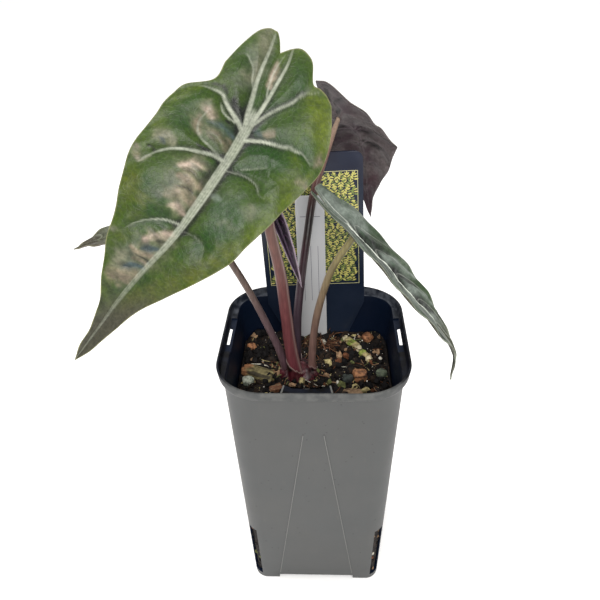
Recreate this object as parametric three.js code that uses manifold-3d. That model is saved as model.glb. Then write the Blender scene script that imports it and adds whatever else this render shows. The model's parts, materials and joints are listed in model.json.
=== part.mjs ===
// Potted aroid house plant: a square nursery pot of potting mix, one crown with four stems and
// their shield-shaped leaves, a young leaf, a name label and a picture tag.
// Millimetres, +Z up, +X to the viewer's right, +Y away from the viewer. Everything is placed from
// the middle of the pot's underside, then moved so that the middle of the whole footprint is zero.

import * as THREE from "three";
import { mergeVertices } from "three/examples/jsm/utils/BufferGeometryUtils.js";
import Module from "manifold-3d";

const wasm = await Module();
wasm.setup();

// Driving dimensions

const GAP = 0.3;

const POT = {
  height: 135,
  footHalf: 32.1,
  footCorner: 6.5,
  footRound: 0.5,
  wallTopHalf: 38.4,
  wallTopCorner: 13,
  wallTopZ: 129.8,
  wall: 1,
  ledgeBottomZ: 130.7,
  ledgeTopZ: 131.9,
  rimFootHalf: 41.4,
  rimFootCorner: 21.2,
  rimHalf: 42,
  rimCorner: 21.8,
  upstand: 1,
  lipRound: 0.2,
  floorZ: 4,
  archHalf: 19.2,
  archHeight: 2.6,
};
const CORNER_STEPS = 6;
const BEYOND = 60;

const DRAIN_SLOT = { width: 5.5, bottomZ: 3.2, topZ: 39, reach: 12 };
const FLOOR_HOLE = { radius: 4, offset: 13, depth: 10 };
const RIM_SLOT = { innerX: 38.7, outerX: 40.2, frontY: -3.5, backY: 10.4 };
const RIM_RECESS = { innerX: 36.4, frontY: -9.5, backY: 17, floorZ: 131.2 };
const WALL_LINE = { bottomX: 18.6, bottomZ: 5, topX: 4.5, topZ: 108, width: 0.7, proud: 0.3, root: 0.3 };
const LUG = {
  left: -12.5,
  right: 7.5,
  flare: 1,
  hornY: -32.6,
  hornWidth: 3.6,
  webY: -34.9,
  webDip: 0.4,
  wallY: -38,
  bottomZ: 130.9,
};

const SOIL = {
  level: 111.3,
  edgeHalf: 35.8,
  lumps: 70,
  lumpMargin: 4.5,
  lumpSmallest: 2,
  lumpSpread: 3.4,
  lumpPoints: 9,
  lumpLift: 0.12,
};
const SOIL_MOUNDS = [
  { at: [-7, -1], height: 2.4, reach: 13 },
  { at: [-1, 25], height: 2.6, reach: 9 },
];
const SOIL_WAVES = [
  { height: 0.7, across: 0.31, away: 0.27, shift: 1.3 },
  { height: 0.5, across: 0.63, away: 0.51, shift: 0.4 },
  { height: 0.35, across: 1.17, away: 1.31, shift: 2 },
];
const SOIL_RING_SCALES = [0.95, 0.86, 0.75, 0.62, 0.48, 0.33, 0.17];

const CROWN = {
  centre: [-7.6, -0.4, 109.5],
  radii: [10.5, 8.8, 8.5],
  sheathTopZ: 122.5,
  sheathWalls: [2.25, 1.5, 0.9],
};

const LABEL = {
  centreX: -0.8,
  y: 27,
  topZ: 191,
  halfWidth: 7.8,
  lowHalfWidth: 6.6,
  chamfer: 3.4,
  shoulderZ: 119,
  pointRise: 8,
  tipZ: 88,
  thickness: 0.8,
  lean: 0.9,
};

const TAG = {
  centreX: 0.4,
  y: 32.5,
  topZ: 209,
  halfWidth: 24.1,
  corner: 4,
  shoulderZ: 131,
  neckHalfWidth: 14,
  neckZ: 108,
  stakeHalfWidth: 4,
  stakePoint: 4,
  tipZ: 84,
  thickness: 0.8,
  lean: 2.1,
};

// Each blade is laid out about its midrib, given by evenly spaced points from the back of the
// lobes to the tip. The lobes give how far the back edge lies along the midrib, from the notch out
// to the margin. Half widths are in millimetres at even steps from where the margin starts to the
// tip. Laterals say where the side veins leave the midrib, as shares of its length, and the blade
// puffs up between.
const evenly = (count) => Array.from({ length: count + 1 }, (_, k) => k / count);
const BLADE_COLUMNS = [-1, -0.9, -0.76, -0.57, -0.38, -0.2, -0.07, 0, 0.07, 0.2, 0.38, 0.57, 0.76, 0.9, 1];

const BLADES = {
  front: {
    midrib: [[-7.9, 2.8, 262.2], [-21.5, -14, 237], [-34, -28, 220.5], [-49, -39, 202], [-67, -46.5, 182],
      [-89.5, -50, 158]],
    facing: [0.15, -0.86, 0.49],
    leftHalf: [16.3, 17.4, 25.2, 27.6, 28.6, 28.5, 29, 29.5, 29, 27.5, 25.5, 23, 21, 19, 16, 12.5, 8.5,
      5.5, 3, 1.5, 0],
    rightHalf: [24.2, 27.8, 30, 30.8, 29.5, 28, 26.5, 25.5, 24, 22.5, 21.5, 19, 16, 13, 10, 7, 5, 4, 3,
      2, 0],
    leftLobe: [0.038, 0.014, 0.001, 0.002, 0.008, 0.02, 0.042, 0.07, 0.105],
    rightLobe: [0.038, 0.022, 0.013, 0.017, 0.031, 0.069, 0.073, 0.08, 0.095],
    fold: 8,
    droop: 0.002,
    laterals: [0, 0.07, 0.17, 0.34, 0.54, 0.7, 0.84, 1],
    quilt: 1.1,
    wave: 0.5,
    thickness: 0.9,
    keel: 1.3,
  },
  back: {
    midrib: [[-1, 28, 241], [11, 38, 223.5], [19.5, 46.5, 215.5], [23.5, 51, 203], [25.5, 52, 188],
      [27.5, 50, 169.5]],
    facing: [0.3, 0.75, 0.55],
    leftHalf: [13.5, 18, 18, 17, 16, 14.5, 14, 15, 17, 19, 17.5, 16, 14.5, 13, 11.5, 9, 6.5, 4, 2, 1, 0],
    rightHalf: [15, 19, 20, 19, 19, 18, 15, 11.5, 7, 3, 0],
    leftLobe: [0.06, 0, 0, 0.02, 0.1],
    rightLobe: [0.06, 0, 0, 0.02, 0.1],
    fold: -12,
    droop: 0.002,
    laterals: evenly(6),
    quilt: 1.4,
    wave: 0.7,
    thickness: 0.8,
    keel: 1.2,
  },
  right: {
    midrib: [[0, -3, 206.5], [7.5, -5.7, 199], [15.5, -7.9, 192.5], [23, -10, 184.5], [31, -12, 176.5],
      [38, -14, 167.5], [46, -16, 159.5], [53.5, -17.8, 150], [60, -19.2, 139], [59.5, -20, 124.5]],
    facing: [0.58, -0.07, 0.75],
    leftHalf: [6, 9.5, 10, 10.5, 12, 10.5, 10.5, 10, 6.5, 2, 0],
    rightHalf: [11, 13, 12.5, 12.5, 12.5, 13.5, 10.5, 6.5, 3, 1.4, 0],
    leftLobe: [0.1, 0, 0, 0.02, 0.12],
    rightLobe: [0.1, 0, 0, 0.02, 0.12],
    fold: 10,
    droop: 0,
    laterals: evenly(6),
    quilt: 1.3,
    wave: 0.6,
    thickness: 0.8,
    keel: 1.2,
  },
  left: {
    midrib: [[-37, -16, 207], [-47, -16, 203.5], [-58.5, -17, 200], [-70.5, -18, 196.5], [-82, -19, 194],
      [-93, -20, 189.5]],
    facing: [-0.1, -0.2, 0.95],
    leftHalf: [10, 13.5, 14.5, 13.5, 11.5, 9.5, 7.5, 5.5, 3.5, 1.5, 0],
    rightHalf: [10, 13.5, 14.5, 14.5, 13.5, 12, 10, 8, 5.5, 2, 0],
    leftLobe: [0.1, 0, 0, 0.02, 0.12],
    rightLobe: [0.1, 0, 0, 0.02, 0.12],
    fold: 12,
    droop: 0,
    laterals: evenly(5),
    quilt: 1,
    wave: 0.5,
    thickness: 0.8,
    keel: 1.1,
  },
  young: {
    midrib: [[-19, -4.2, 207.5], [-16.2, -4.8, 199.5], [-13.3, -5, 191.5], [-10.6, -4.8, 182.5],
      [-7.8, -4.5, 172.5], [-4.8, -4, 162]],
    facing: [0.45, -0.85, 0.25],
    leftHalf: [2.2, 3.2, 3.6, 3.6, 3.4, 3.1, 2.8, 2.3, 1.7, 1, 0],
    rightHalf: [2.2, 3.2, 3.6, 3.6, 3.4, 3.1, 2.8, 2.3, 1.7, 1, 0],
    leftLobe: [0.05, 0, 0, 0.03, 0.08],
    rightLobe: [0.05, 0, 0, 0.03, 0.08],
    fold: 38,
    droop: 0,
    laterals: evenly(4),
    quilt: 0.15,
    wave: 0.1,
    thickness: 0.7,
    keel: 0.6,
  },
};
const MARGIN_SWEEP = 0.1;
const ROWS_BETWEEN_LATERALS = 4;

// Each stem runs through these points, evenly spaced along its length, from the crown to the
// underside of its blade. Radii run from base to top.
const STEMS = {
  front: {
    path: [[-7, -4.4, 108], [-10.5, -4.4, 129], [-12.1, -5.6, 151], [-13.5, -8.5, 172],
      [-16.5, -11.5, 193.5], [-18.8, -12.9, 215], [-21.4, -13.4, 236.5]],
    radii: [3.5, 2.9, 2.6, 2.4, 2.2, 2.05, 1.9],
    blade: "front",
  },
  back: {
    path: [[-8.9, 3.4, 108], [-8.2, 3.5, 126], [-7.4, 3.9, 144], [-5.3, 6.2, 162],
      [-2.7, 11.2, 179], [0.2, 18.8, 195.5], [5.5, 27.2, 210.5], [11.2, 38.2, 223]],
    radii: [2.3, 2, 1.9, 1.8, 1.75, 1.7, 1.6, 1.5],
    blade: "back",
  },
  right: {
    path: [[-1.2, -0.6, 108], [-1, -1.5, 124.5], [0.5, -2.2, 141], [3.6, -3.6, 157],
      [8.4, -5.7, 173], [16.8, -8, 188.8]],
    radii: [2.1, 1.8, 1.7, 1.6, 1.5, 1.4],
    blade: "right",
  },
  left: {
    path: [[-12.6, -0.4, 108], [-15.2, -2.2, 124.5], [-19.9, -4.9, 141], [-24.6, -8.4, 157],
      [-30.1, -12, 173], [-37, -14.9, 188.5], [-47.5, -16, 203]],
    radii: [2.2, 1.9, 1.65, 1.5, 1.45, 1.4, 1.3],
    blade: "left",
  },
};

// The young leaf's stem leaves the sheath of the front stem and rises close behind it.
const YOUNG_STEM = {
  path: [[-11.6, -4.4, 142], [-12, -2.2, 154], [-13.2, -2, 166], [-15, -2.2, 178], [-17, -2.8, 190],
    [-16.8, -4.4, 201]],
  radii: [1.4, 1.2, 1.05, 0.95, 0.85, 0.8],
};

// Loose pieces on the mix: place, size along, across and up, turn about +Z and colour.
const PIECES = [
  { name: "bark_chip_left", at: [-26.8, -0.8], size: [18.5, 8, 4.5], turn: -24, colour: 0x8a7a45 },
  { name: "bark_chip_left_small", at: [-32, 20.4], size: [5, 4.4, 4], turn: 20, colour: 0xb5713f },
  { name: "pebble_left", at: [-31, -6.6], size: [6, 5, 3.8], turn: 10, colour: 0xc9cfc4 },
  { name: "twig_back", at: [18.6, 23.6], size: [14, 4.4, 3.4], turn: -50, colour: 0x9aa055 },
  { name: "twig_middle", at: [25, 13.8], size: [9, 4, 3.4], turn: -56, colour: 0xa9a765 },
  { name: "bark_chip_back", at: [26.4, 28.2], size: [5.6, 5, 4.4], turn: 35, colour: 0xb2703f },
  { name: "bark_chip_right", at: [21.4, -2.6], size: [6.6, 6.4, 5.2], turn: 12, colour: 0xb9733d },
  { name: "bark_chip_front", at: [17.6, -13.8], size: [10, 5, 3.4], turn: -8, colour: 0x9b7a52 },
  { name: "pebble_right", at: [31.6, -0.4], size: [5.2, 5, 4], turn: 40, colour: 0x76836a },
  { name: "pebble_middle", at: [15.6, -4.8], size: [5.6, 4.6, 3.6], turn: 0, colour: 0x55606a },
  { name: "bark_chip_front_left", at: [-17.6, -12], size: [6.6, 4, 3], turn: 25, colour: 0x8d6f48 },
];

// Materials

const plastic = (colour) => new THREE.MeshStandardMaterial({ color: colour, roughness: 0.55 });
const plant = (colour) => new THREE.MeshStandardMaterial({ color: colour, roughness: 0.45 });
const earth = (colour) => new THREE.MeshStandardMaterial({ color: colour, roughness: 0.95 });

// Numbers and curves

// Value at x, from 0 to 1, of a smooth curve through evenly spaced values.
function sample(values, x) {
  const last = values.length - 1;
  const place = THREE.MathUtils.clamp(x, 0, 1) * last;
  const i = Math.min(Math.floor(place), last - 1);
  const f = place - i;
  const before = i > 0 ? values[i - 1] : 2 * values[0] - values[1];
  const after = i + 2 <= last ? values[i + 2] : 2 * values[last] - values[last - 1];
  const a = 2 * values[i];
  const b = values[i + 1] - before;
  const c = 2 * before - 5 * values[i] + 4 * values[i + 1] - after;
  const d = -before + 3 * values[i] - 3 * values[i + 1] + after;
  return 0.5 * (a + b * f + c * f * f + d * f * f * f);
}

function pointAlong(points, x) {
  const [px, py, pz] = [0, 1, 2].map((k) => sample(points.map((p) => p[k]), x));
  return new THREE.Vector3(px, py, pz);
}

function directionAlong(points, x) {
  const step = 0.002;
  const ahead = pointAlong(points, Math.min(x + step, 1));
  return ahead.sub(pointAlong(points, Math.max(x - step, 0))).normalize();
}

// Repeatable random numbers from 0 to 1.
function randomFrom(seed) {
  let state = seed;
  return () => {
    state = (state * 1664525 + 1013904223) % 4294967296;
    return state / 4294967296;
  };
}

// Solids

function solidOf(positions, indices) {
  const geometry = new THREE.BufferGeometry();
  geometry.setAttribute("position", new THREE.Float32BufferAttribute(positions, 3));
  geometry.setIndex(indices);
  return toManifold(geometry);
}

function toManifold(source) {
  const bare = source.clone();
  bare.deleteAttribute("normal");
  bare.deleteAttribute("uv");
  const geometry = mergeVertices(bare, 1e-4);
  const vertProperties = new Float32Array(geometry.attributes.position.array);
  const triVerts = new Uint32Array(geometry.index.array);
  return new wasm.Manifold(new wasm.Mesh({ numProp: 3, vertProperties, triVerts }));
}

function toGeometry(solid) {
  const mesh = solid.getMesh();
  const geometry = new THREE.BufferGeometry();
  geometry.setAttribute("position", new THREE.BufferAttribute(Float32Array.from(mesh.vertProperties), 3));
  geometry.setIndex(new THREE.BufferAttribute(Uint32Array.from(mesh.triVerts), 1));
  geometry.computeVertexNormals();
  return geometry;
}

// Closed skin over rings of equally many points, each ring counter-clockwise seen from the end.
function loft(rings) {
  const count = rings[0].length;
  const positions = rings.flat().flatMap((p) => [p.x, p.y, p.z]);
  const indices = [];
  for (let i = 0; i + 1 < rings.length; i += 1) {
    for (let j = 0; j < count; j += 1) {
      const a = i * count + j;
      const b = i * count + ((j + 1) % count);
      indices.push(a, b, b + count, a, b + count, a + count);
    }
  }
  const ends = [[rings[0], 0, true], [rings.at(-1), (rings.length - 1) * count, false]];
  for (const [ring, start, flip] of ends) {
    const centre = ring.reduce((sum, p) => sum.add(p), new THREE.Vector3()).divideScalar(count);
    const hub = positions.length / 3;
    positions.push(centre.x, centre.y, centre.z);
    for (let j = 0; j < count; j += 1) {
      const a = start + j;
      const b = start + ((j + 1) % count);
      indices.push(...(flip ? [hub, b, a] : [hub, a, b]));
    }
  }
  return solidOf(positions, indices);
}

// Round tube along evenly spaced points, with a radius for each of them.
function tube(path, radii, clearance = 0, sections = 4 * path.length, sides = 10) {
  const rings = [];
  const across = new THREE.Vector3(1, 0, 0);
  for (let i = 0; i <= sections; i += 1) {
    const x = i / sections;
    const centre = pointAlong(path, x);
    const along = directionAlong(path, x);
    across.addScaledVector(along, -across.dot(along)).normalize();
    const up = along.clone().cross(across);
    const radius = sample(radii, x) + clearance;
    rings.push(Array.from({ length: sides }, (_, j) => {
      const angle = (2 * Math.PI * j) / sides;
      return centre.clone()
        .addScaledVector(across, radius * Math.cos(angle))
        .addScaledVector(up, radius * Math.sin(angle));
    }));
  }
  return loft(rings);
}

function box(x0, x1, y0, y1, z0, z1) {
  const geometry = new THREE.BoxGeometry(x1 - x0, y1 - y0, z1 - z0);
  return toManifold(geometry.translate((x0 + x1) / 2, (y0 + y1) / 2, (z0 + z1) / 2));
}

// Flat plate in the XZ plane from an outline of [x, z] points, centred on y = 0.
function plate(outline, thickness) {
  const shape = new THREE.Shape(outline.map(([x, z]) => new THREE.Vector2(x, z)));
  const geometry = new THREE.ExtrudeGeometry(shape, { depth: thickness, bevelEnabled: false });
  return toManifold(geometry.translate(0, 0, -thickness / 2).rotateX(Math.PI / 2));
}

// Largest of the bodies that a cut has left.
function mainBody(solid) {
  return solid.decompose().reduce((best, part) => (part.volume() > best.volume() ? part : best));
}

// Pot

function roundedSquare(half, corner, z) {
  const ring = [];
  for (let side = 0; side < 4; side += 1) {
    for (let i = 0; i <= CORNER_STEPS; i += 1) {
      const angle = (Math.PI / 2) * (side + i / CORNER_STEPS);
      const quarter = (Math.PI / 2) * side + Math.PI / 4;
      const reach = (half - corner) * Math.SQRT2;
      const x = reach * Math.cos(quarter) + corner * Math.cos(angle);
      const y = reach * Math.sin(quarter) + corner * Math.sin(angle);
      ring.push(new THREE.Vector3(x, y, z));
    }
  }
  return ring;
}

const wallShare = (z) => z / POT.wallTopZ;
const outerHalf = (z) => THREE.MathUtils.lerp(POT.footHalf, POT.wallTopHalf, wallShare(z));
const outerCorner = (z) => THREE.MathUtils.lerp(POT.footCorner, POT.wallTopCorner, wallShare(z));
const innerRing = (z, inset = 0) =>
  roundedSquare(outerHalf(z) - POT.wall - inset, outerCorner(z) - POT.wall - inset, z);

function potShell() {
  const rings = [
    roundedSquare(POT.footHalf - POT.footRound, POT.footCorner - POT.footRound, 0),
    roundedSquare(outerHalf(POT.footRound), outerCorner(POT.footRound), POT.footRound),
    roundedSquare(POT.wallTopHalf, POT.wallTopCorner, POT.wallTopZ),
    roundedSquare(POT.rimFootHalf, POT.rimFootCorner, POT.ledgeBottomZ),
    roundedSquare(POT.rimHalf, POT.rimCorner, POT.height - POT.lipRound),
    roundedSquare(POT.rimHalf - POT.lipRound, POT.rimCorner - POT.lipRound, POT.height),
    roundedSquare(POT.rimHalf - POT.upstand, POT.rimCorner - POT.upstand, POT.height),
    roundedSquare(POT.rimFootHalf - POT.upstand, POT.rimFootCorner - POT.upstand, POT.ledgeTopZ),
    innerRing(POT.ledgeTopZ, -POT.lipRound),
    innerRing(POT.ledgeBottomZ),
    innerRing(POT.floorZ),
  ];
  return loft(rings);
}

// The two fine raised lines on each wall, closing towards the rim.
function wallLine(side, turn) {
  const rings = [[WALL_LINE.bottomX, WALL_LINE.bottomZ], [WALL_LINE.topX, WALL_LINE.topZ]].map(([x, z]) => {
    const face = -outerHalf(z);
    const half = WALL_LINE.width / 2;
    const { proud, root } = WALL_LINE;
    const corners = [[-half, root], [-half, -proud], [half, -proud], [half, root]];
    return corners.map(([dx, dy]) => new THREE.Vector3(side * x + dx, face + dy, z));
  });
  return loft(rings).rotate([0, 0, turn]);
}

function labelLug() {
  const { left, right, flare, hornY, hornWidth, webY, webDip, wallY, bottomZ } = LUG;
  const outline = [[left - flare, wallY], [right + flare, wallY], [right, hornY],
    [right - hornWidth, webY + webDip], [(left + right) / 2, webY], [left + hornWidth, webY + webDip],
    [left, hornY]];
  const shape = new THREE.Shape(outline.map(([x, y]) => new THREE.Vector2(x, y)));
  const depth = POT.ledgeTopZ - bottomZ;
  const geometry = new THREE.ExtrudeGeometry(shape, { depth, bevelEnabled: false });
  return toManifold(geometry.translate(0, 0, bottomZ));
}

function floorHole(x, y) {
  const { radius, depth } = FLOOR_HOLE;
  const geometry = new THREE.CylinderGeometry(radius, radius, depth, 16);
  return toManifold(geometry.rotateX(Math.PI / 2).translate(x, y, POT.floorZ));
}

function pot() {
  let solid = potShell();
  for (const turn of [0, 90, 180, 270]) {
    solid = solid.add(wallLine(-1, turn)).add(wallLine(1, turn));
  }
  const { archHalf, archHeight } = POT;
  solid = solid.subtract(box(-archHalf, archHalf, -BEYOND, BEYOND, -BEYOND, archHeight));
  solid = solid.subtract(box(-BEYOND, BEYOND, -archHalf, archHalf, -BEYOND, archHeight));
  const slotHalf = DRAIN_SLOT.width / 2;
  const cornerReach = POT.footHalf * Math.SQRT2;
  const { reach, bottomZ, topZ } = DRAIN_SLOT;
  const slot = box(cornerReach - reach, cornerReach + reach, -slotHalf, slotHalf, bottomZ, topZ);
  for (const turn of [45, 135, 225, 315]) {
    solid = solid.subtract(slot.rotate([0, 0, turn]));
  }
  const off = FLOOR_HOLE.offset;
  for (const [x, y] of [[0, 0], [off, 0], [-off, 0], [0, off], [0, -off]]) {
    solid = solid.subtract(floorHole(x, y));
  }
  for (const turn of [0, 180]) {
    const mirror = turn === 0 ? 1 : -1;
    const span = (front, back) => (mirror > 0 ? [front, back] : [-back, -front]);
    const [slotFront, slotBack] = span(RIM_SLOT.frontY, RIM_SLOT.backY);
    const [dipFront, dipBack] = span(RIM_RECESS.frontY, RIM_RECESS.backY);
    const aboveZ = POT.ledgeTopZ + 1;
    const { innerX, outerX } = RIM_SLOT;
    const through = box(innerX, outerX, slotFront, slotBack, POT.height - 15, aboveZ);
    const dip = box(RIM_RECESS.innerX, outerX, dipFront, dipBack, RIM_RECESS.floorZ, aboveZ);
    solid = solid.subtract(through.rotate([0, 0, turn])).subtract(dip.rotate([0, 0, turn]));
  }
  return solid.add(labelLug());
}

// Potting mix

function soilHeight(x, y) {
  const mound = SOIL_MOUNDS.reduce((sum, { at, height, reach }) =>
    sum + height * Math.exp(-((x - at[0]) ** 2 + (y - at[1]) ** 2) / reach ** 2), 0);
  const rough = SOIL_WAVES.reduce((sum, { height, across, away, shift }) =>
    sum + height * Math.sin(across * x + shift) * Math.cos(away * y), 0);
  return SOIL.level + mound + rough;
}

function soilBlock() {
  const bottom = innerRing(POT.floorZ + GAP, GAP);
  const middle = innerRing(60, GAP);
  const edgeCorner = outerCorner(SOIL.level) - POT.wall - GAP;
  const edge = roundedSquare(SOIL.edgeHalf, edgeCorner, 0);
  const rings = [bottom, middle];
  for (const scale of [1, ...SOIL_RING_SCALES]) {
    rings.push(edge.map((p) => {
      const [x, y] = [p.x * scale, p.y * scale];
      return new THREE.Vector3(x, y, soilHeight(x, y));
    }));
  }
  return loft(rings);
}

// A small angular lump: the hull of points scattered near an ellipsoid's surface.
function lump(size, random, points) {
  const cloud = Array.from({ length: points }, (_, i) => {
    const height = 1 - (2 * (i + 0.5)) / points;
    const angle = i * 2.4 + random();
    const ring = Math.sqrt(1 - height * height);
    const reach = 0.42 + 0.14 * random();
    return [size[0] * reach * ring * Math.cos(angle), size[1] * reach * ring * Math.sin(angle),
      size[2] * reach * height];
  });
  return wasm.Manifold.hull(cloud);
}

function soilLumps() {
  const random = randomFrom(11);
  const lumps = [];
  for (let i = 0; i < SOIL.lumps; i += 1) {
    const x = (random() - 0.5) * 2 * (SOIL.edgeHalf - SOIL.lumpMargin);
    const y = (random() - 0.5) * 2 * (SOIL.edgeHalf - SOIL.lumpMargin);
    const size = SOIL.lumpSmallest + SOIL.lumpSpread * random() ** 2;
    const shape = [size, size * (0.6 + 0.4 * random()), size * (0.5 + 0.4 * random())];
    const turn = 360 * random();
    const lift = soilHeight(x, y) + SOIL.lumpLift * size;
    lumps.push(lump(shape, random, SOIL.lumpPoints).rotate([0, 0, turn]).translate([x, y, lift]));
  }
  return lumps;
}

function loosePiece(piece, seed) {
  const random = randomFrom(seed);
  const [x, y] = piece.at;
  const points = piece.size[0] > 9 ? 20 : 13;
  const lean = [6 * (random() - 0.5), 6 * (random() - 0.5), piece.turn];
  return lump(piece.size, random, points).rotate(lean)
    .translate([x, y, soilHeight(x, y) + 0.2 * piece.size[2]]);
}

// The same piece grown by the gap on every side, used to sink its place in the mix.
function grown(solid, gap) {
  const { min, max } = solid.boundingBox();
  const middle = min.map((low, k) => (low + max[k]) / 2);
  const factor = min.map((low, k) => 1 + (2.6 * gap) / (max[k] - low));
  return solid.translate(middle.map((m) => -m)).scale(factor).translate(middle);
}

// Label and tag

// A plate leant to the left about its shoulder and moved to its place.
function stood(solid, { shoulderZ, lean, centreX, y }) {
  return solid.translate([0, 0, -shoulderZ]).rotate([0, -lean, 0]).translate([centreX, y, shoulderZ]);
}

function nameLabel(clearance = 0) {
  const { chamfer, shoulderZ, pointRise, tipZ } = LABEL;
  const half = LABEL.halfWidth + clearance;
  const low = LABEL.lowHalfWidth + clearance;
  const topZ = LABEL.topZ + clearance;
  const outline = [[-half, topZ - chamfer], [-low, shoulderZ], [-low, tipZ + pointRise],
    [0, tipZ - clearance], [low, tipZ + pointRise], [low, shoulderZ], [half, topZ - chamfer],
    [half - chamfer, topZ], [chamfer - half, topZ]];
  return stood(plate(outline, LABEL.thickness + 2 * clearance), LABEL);
}

function pictureTag(clearance = 0) {
  const { corner, shoulderZ, neckZ, stakePoint, tipZ } = TAG;
  const half = TAG.halfWidth + clearance;
  const neck = TAG.neckHalfWidth + clearance;
  const stake = TAG.stakeHalfWidth + clearance;
  const topZ = TAG.topZ + clearance;
  const outline = [[-half, shoulderZ], [-neck, neckZ], [-stake, tipZ],
    [0, tipZ - stakePoint - clearance], [stake, tipZ], [neck, neckZ], [half, shoulderZ]];
  const steps = 5;
  for (const [side, start] of [[1, 0], [-1, 1]]) {
    for (let i = 0; i <= steps; i += 1) {
      const angle = (Math.PI / 2) * (start + i / steps);
      const x = side * (half - corner) + corner * Math.cos(angle);
      outline.push([x, topZ - corner + corner * Math.sin(angle)]);
    }
  }
  return stood(plate(outline, TAG.thickness + 2 * clearance), TAG);
}

// Leaves

// Share of the way from the back edge to the tip at a count of laterals.
function shareAt(laterals, count) {
  const i = Math.min(Math.floor(count), laterals.length - 2);
  return THREE.MathUtils.lerp(laterals[i], laterals[i + 1], count - i);
}

// Place, upward direction and midrib share of one point of a blade: t runs from -1 at the left
// margin to 1 at the right, and count rises by one from each lateral to the next. Rows bend
// forward to the margins.
function bladePoint(blade, t, count) {
  const r = shareAt(blade.laterals, count);
  const reach = Math.abs(t);
  const row = r + 4 * MARGIN_SWEEP * r * (1 - r) * reach ** 2.4;
  const lobe = t < 0 ? blade.leftLobe : blade.rightLobe;
  const backEdge = sample(lobe, reach);
  const x = THREE.MathUtils.clamp(backEdge + (1 - backEdge) * row, 0.002, 0.998);
  const along = directionAlong(blade.midrib, x);
  const facing = new THREE.Vector3(...blade.facing).normalize();
  const normal = facing.addScaledVector(along, -facing.dot(along)).normalize();
  const side = normal.clone().cross(along);
  const margin = lobe.at(-1);
  const q = t * sample(t < 0 ? blade.leftHalf : blade.rightHalf, (x - margin) / (1 - margin));
  const fold = THREE.MathUtils.degToRad(blade.fold);
  const between = Math.sin(Math.PI * count) ** 2;
  const quilt = blade.quilt * between * Math.sin(Math.PI * reach ** 0.7) * (1 - r) ** 0.3;
  const wave = blade.wave * Math.sin(2 * Math.PI * count + Math.sign(t)) * reach ** 3
    * Math.sqrt(Math.sin(Math.PI * r));
  const height = Math.abs(q) * Math.sin(fold) - blade.droop * q * q + quilt + wave;
  const place = pointAlong(blade.midrib, x)
    .addScaledVector(side, q * Math.cos(fold))
    .addScaledVector(normal, height);
  return { place, normal, x };
}

// Closed blade of even thickness with a keel under the midrib; both faces share their diagonals.
function bladeSolid(blade, clearance = 0) {
  const columns = BLADE_COLUMNS.length;
  const rows = ROWS_BETWEEN_LATERALS * (blade.laterals.length - 1);
  const top = [];
  const bottom = [];
  for (let i = 0; i <= rows; i += 1) {
    const across = i < rows ? BLADE_COLUMNS : [0];
    for (const t of across) {
      const { place, normal, x } = bladePoint(blade, t, i / ROWS_BETWEEN_LATERALS);
      const keel = t === 0 ? blade.keel * (1 - x) : 0;
      top.push(place.clone().addScaledVector(normal, clearance));
      bottom.push(place.addScaledVector(normal, -blade.thickness - keel - clearance));
    }
  }
  const positions = [...top, ...bottom].flatMap((p) => [p.x, p.y, p.z]);
  const under = top.length;
  const at = (i, j) => (i < rows ? i * columns + j : rows * columns);
  const indices = [];
  const face = (a, b, c) => indices.push(a, b, c, a + under, c + under, b + under);
  const wall = (a, b) => indices.push(a, a + under, b + under, a, b + under, b);
  for (let i = 0; i < rows; i += 1) {
    for (let j = 0; j + 1 < columns; j += 1) {
      const tip = i + 1 === rows;
      face(at(i, j), at(i + 1, j + 1), at(i, j + 1));
      if (!tip) face(at(i, j), at(i + 1, j), at(i + 1, j + 1));
    }
    wall(at(i, 0), at(i + 1, 0));
    wall(at(i + 1, columns - 1), at(i, columns - 1));
  }
  for (let j = 0; j + 1 < columns; j += 1) wall(at(0, j + 1), at(0, j));
  return solidOf(positions, indices);
}

const stemTube = (stem, clearance = 0) => tube(stem.path, stem.radii, clearance);

// A stem ends a gap short of its blade's underside.
function stemSolid(name) {
  const stem = STEMS[name];
  let solid = stemTube(stem);
  if (name === "front") {
    const young = tube(YOUNG_STEM.path, YOUNG_STEM.radii, 0, 16, 8);
    solid = mainBody(solid.add(young).subtract(bladeSolid(BLADES.young, GAP)));
  }
  return mainBody(solid.subtract(bladeSolid(BLADES[stem.blade], GAP)));
}

// The clasping base: a low swelling with a short sheath about each stem, which stands in its hole.
function crown(clearance = 0) {
  const [rx, ry, rz] = CROWN.radii.map((radius) => radius + clearance);
  const swelling = new THREE.SphereGeometry(1, 16, 10).rotateX(Math.PI / 2).scale(rx, ry, rz);
  let solid = toManifold(swelling).translate(CROWN.centre);
  for (const stem of Object.values(STEMS)) {
    const top = (CROWN.sheathTopZ - stem.path[0][2]) / (stem.path.at(-1)[2] - stem.path[0][2]);
    const share = Math.max(top, 0.5 / (stem.path.length - 1));
    const path = [0, 0.5, 1].map((k) => pointAlong(stem.path, share * k).toArray());
    const radii = CROWN.sheathWalls.map((wall, k) =>
      sample(stem.radii, (share * k) / 2) + wall + clearance);
    solid = solid.add(tube(path, radii, 0, 4));
  }
  return solid;
}

function crownSolid() {
  return Object.values(STEMS).reduce((solid, stem) => solid.subtract(stemTube(stem, GAP)), crown());
}

function soilSolid(pieces) {
  const solid = [soilBlock(), ...soilLumps()].reduce((sum, part) => sum.add(part));
  const cutters = [crown(GAP), nameLabel(GAP), pictureTag(GAP), ...pieces.map((piece) => grown(piece, GAP))];
  return mainBody(cutters.reduce((sum, cutter) => sum.subtract(cutter), solid));
}

// Assembly

const plantGroup = new THREE.Group();

function addNode(name, solid, material) {
  const mesh = new THREE.Mesh(toGeometry(solid), material);
  mesh.name = name;
  plantGroup.add(mesh);
}

const pieceSolids = PIECES.map((piece, i) => mainBody(loosePiece(piece, 100 + i).subtract(crown(GAP))));

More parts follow.
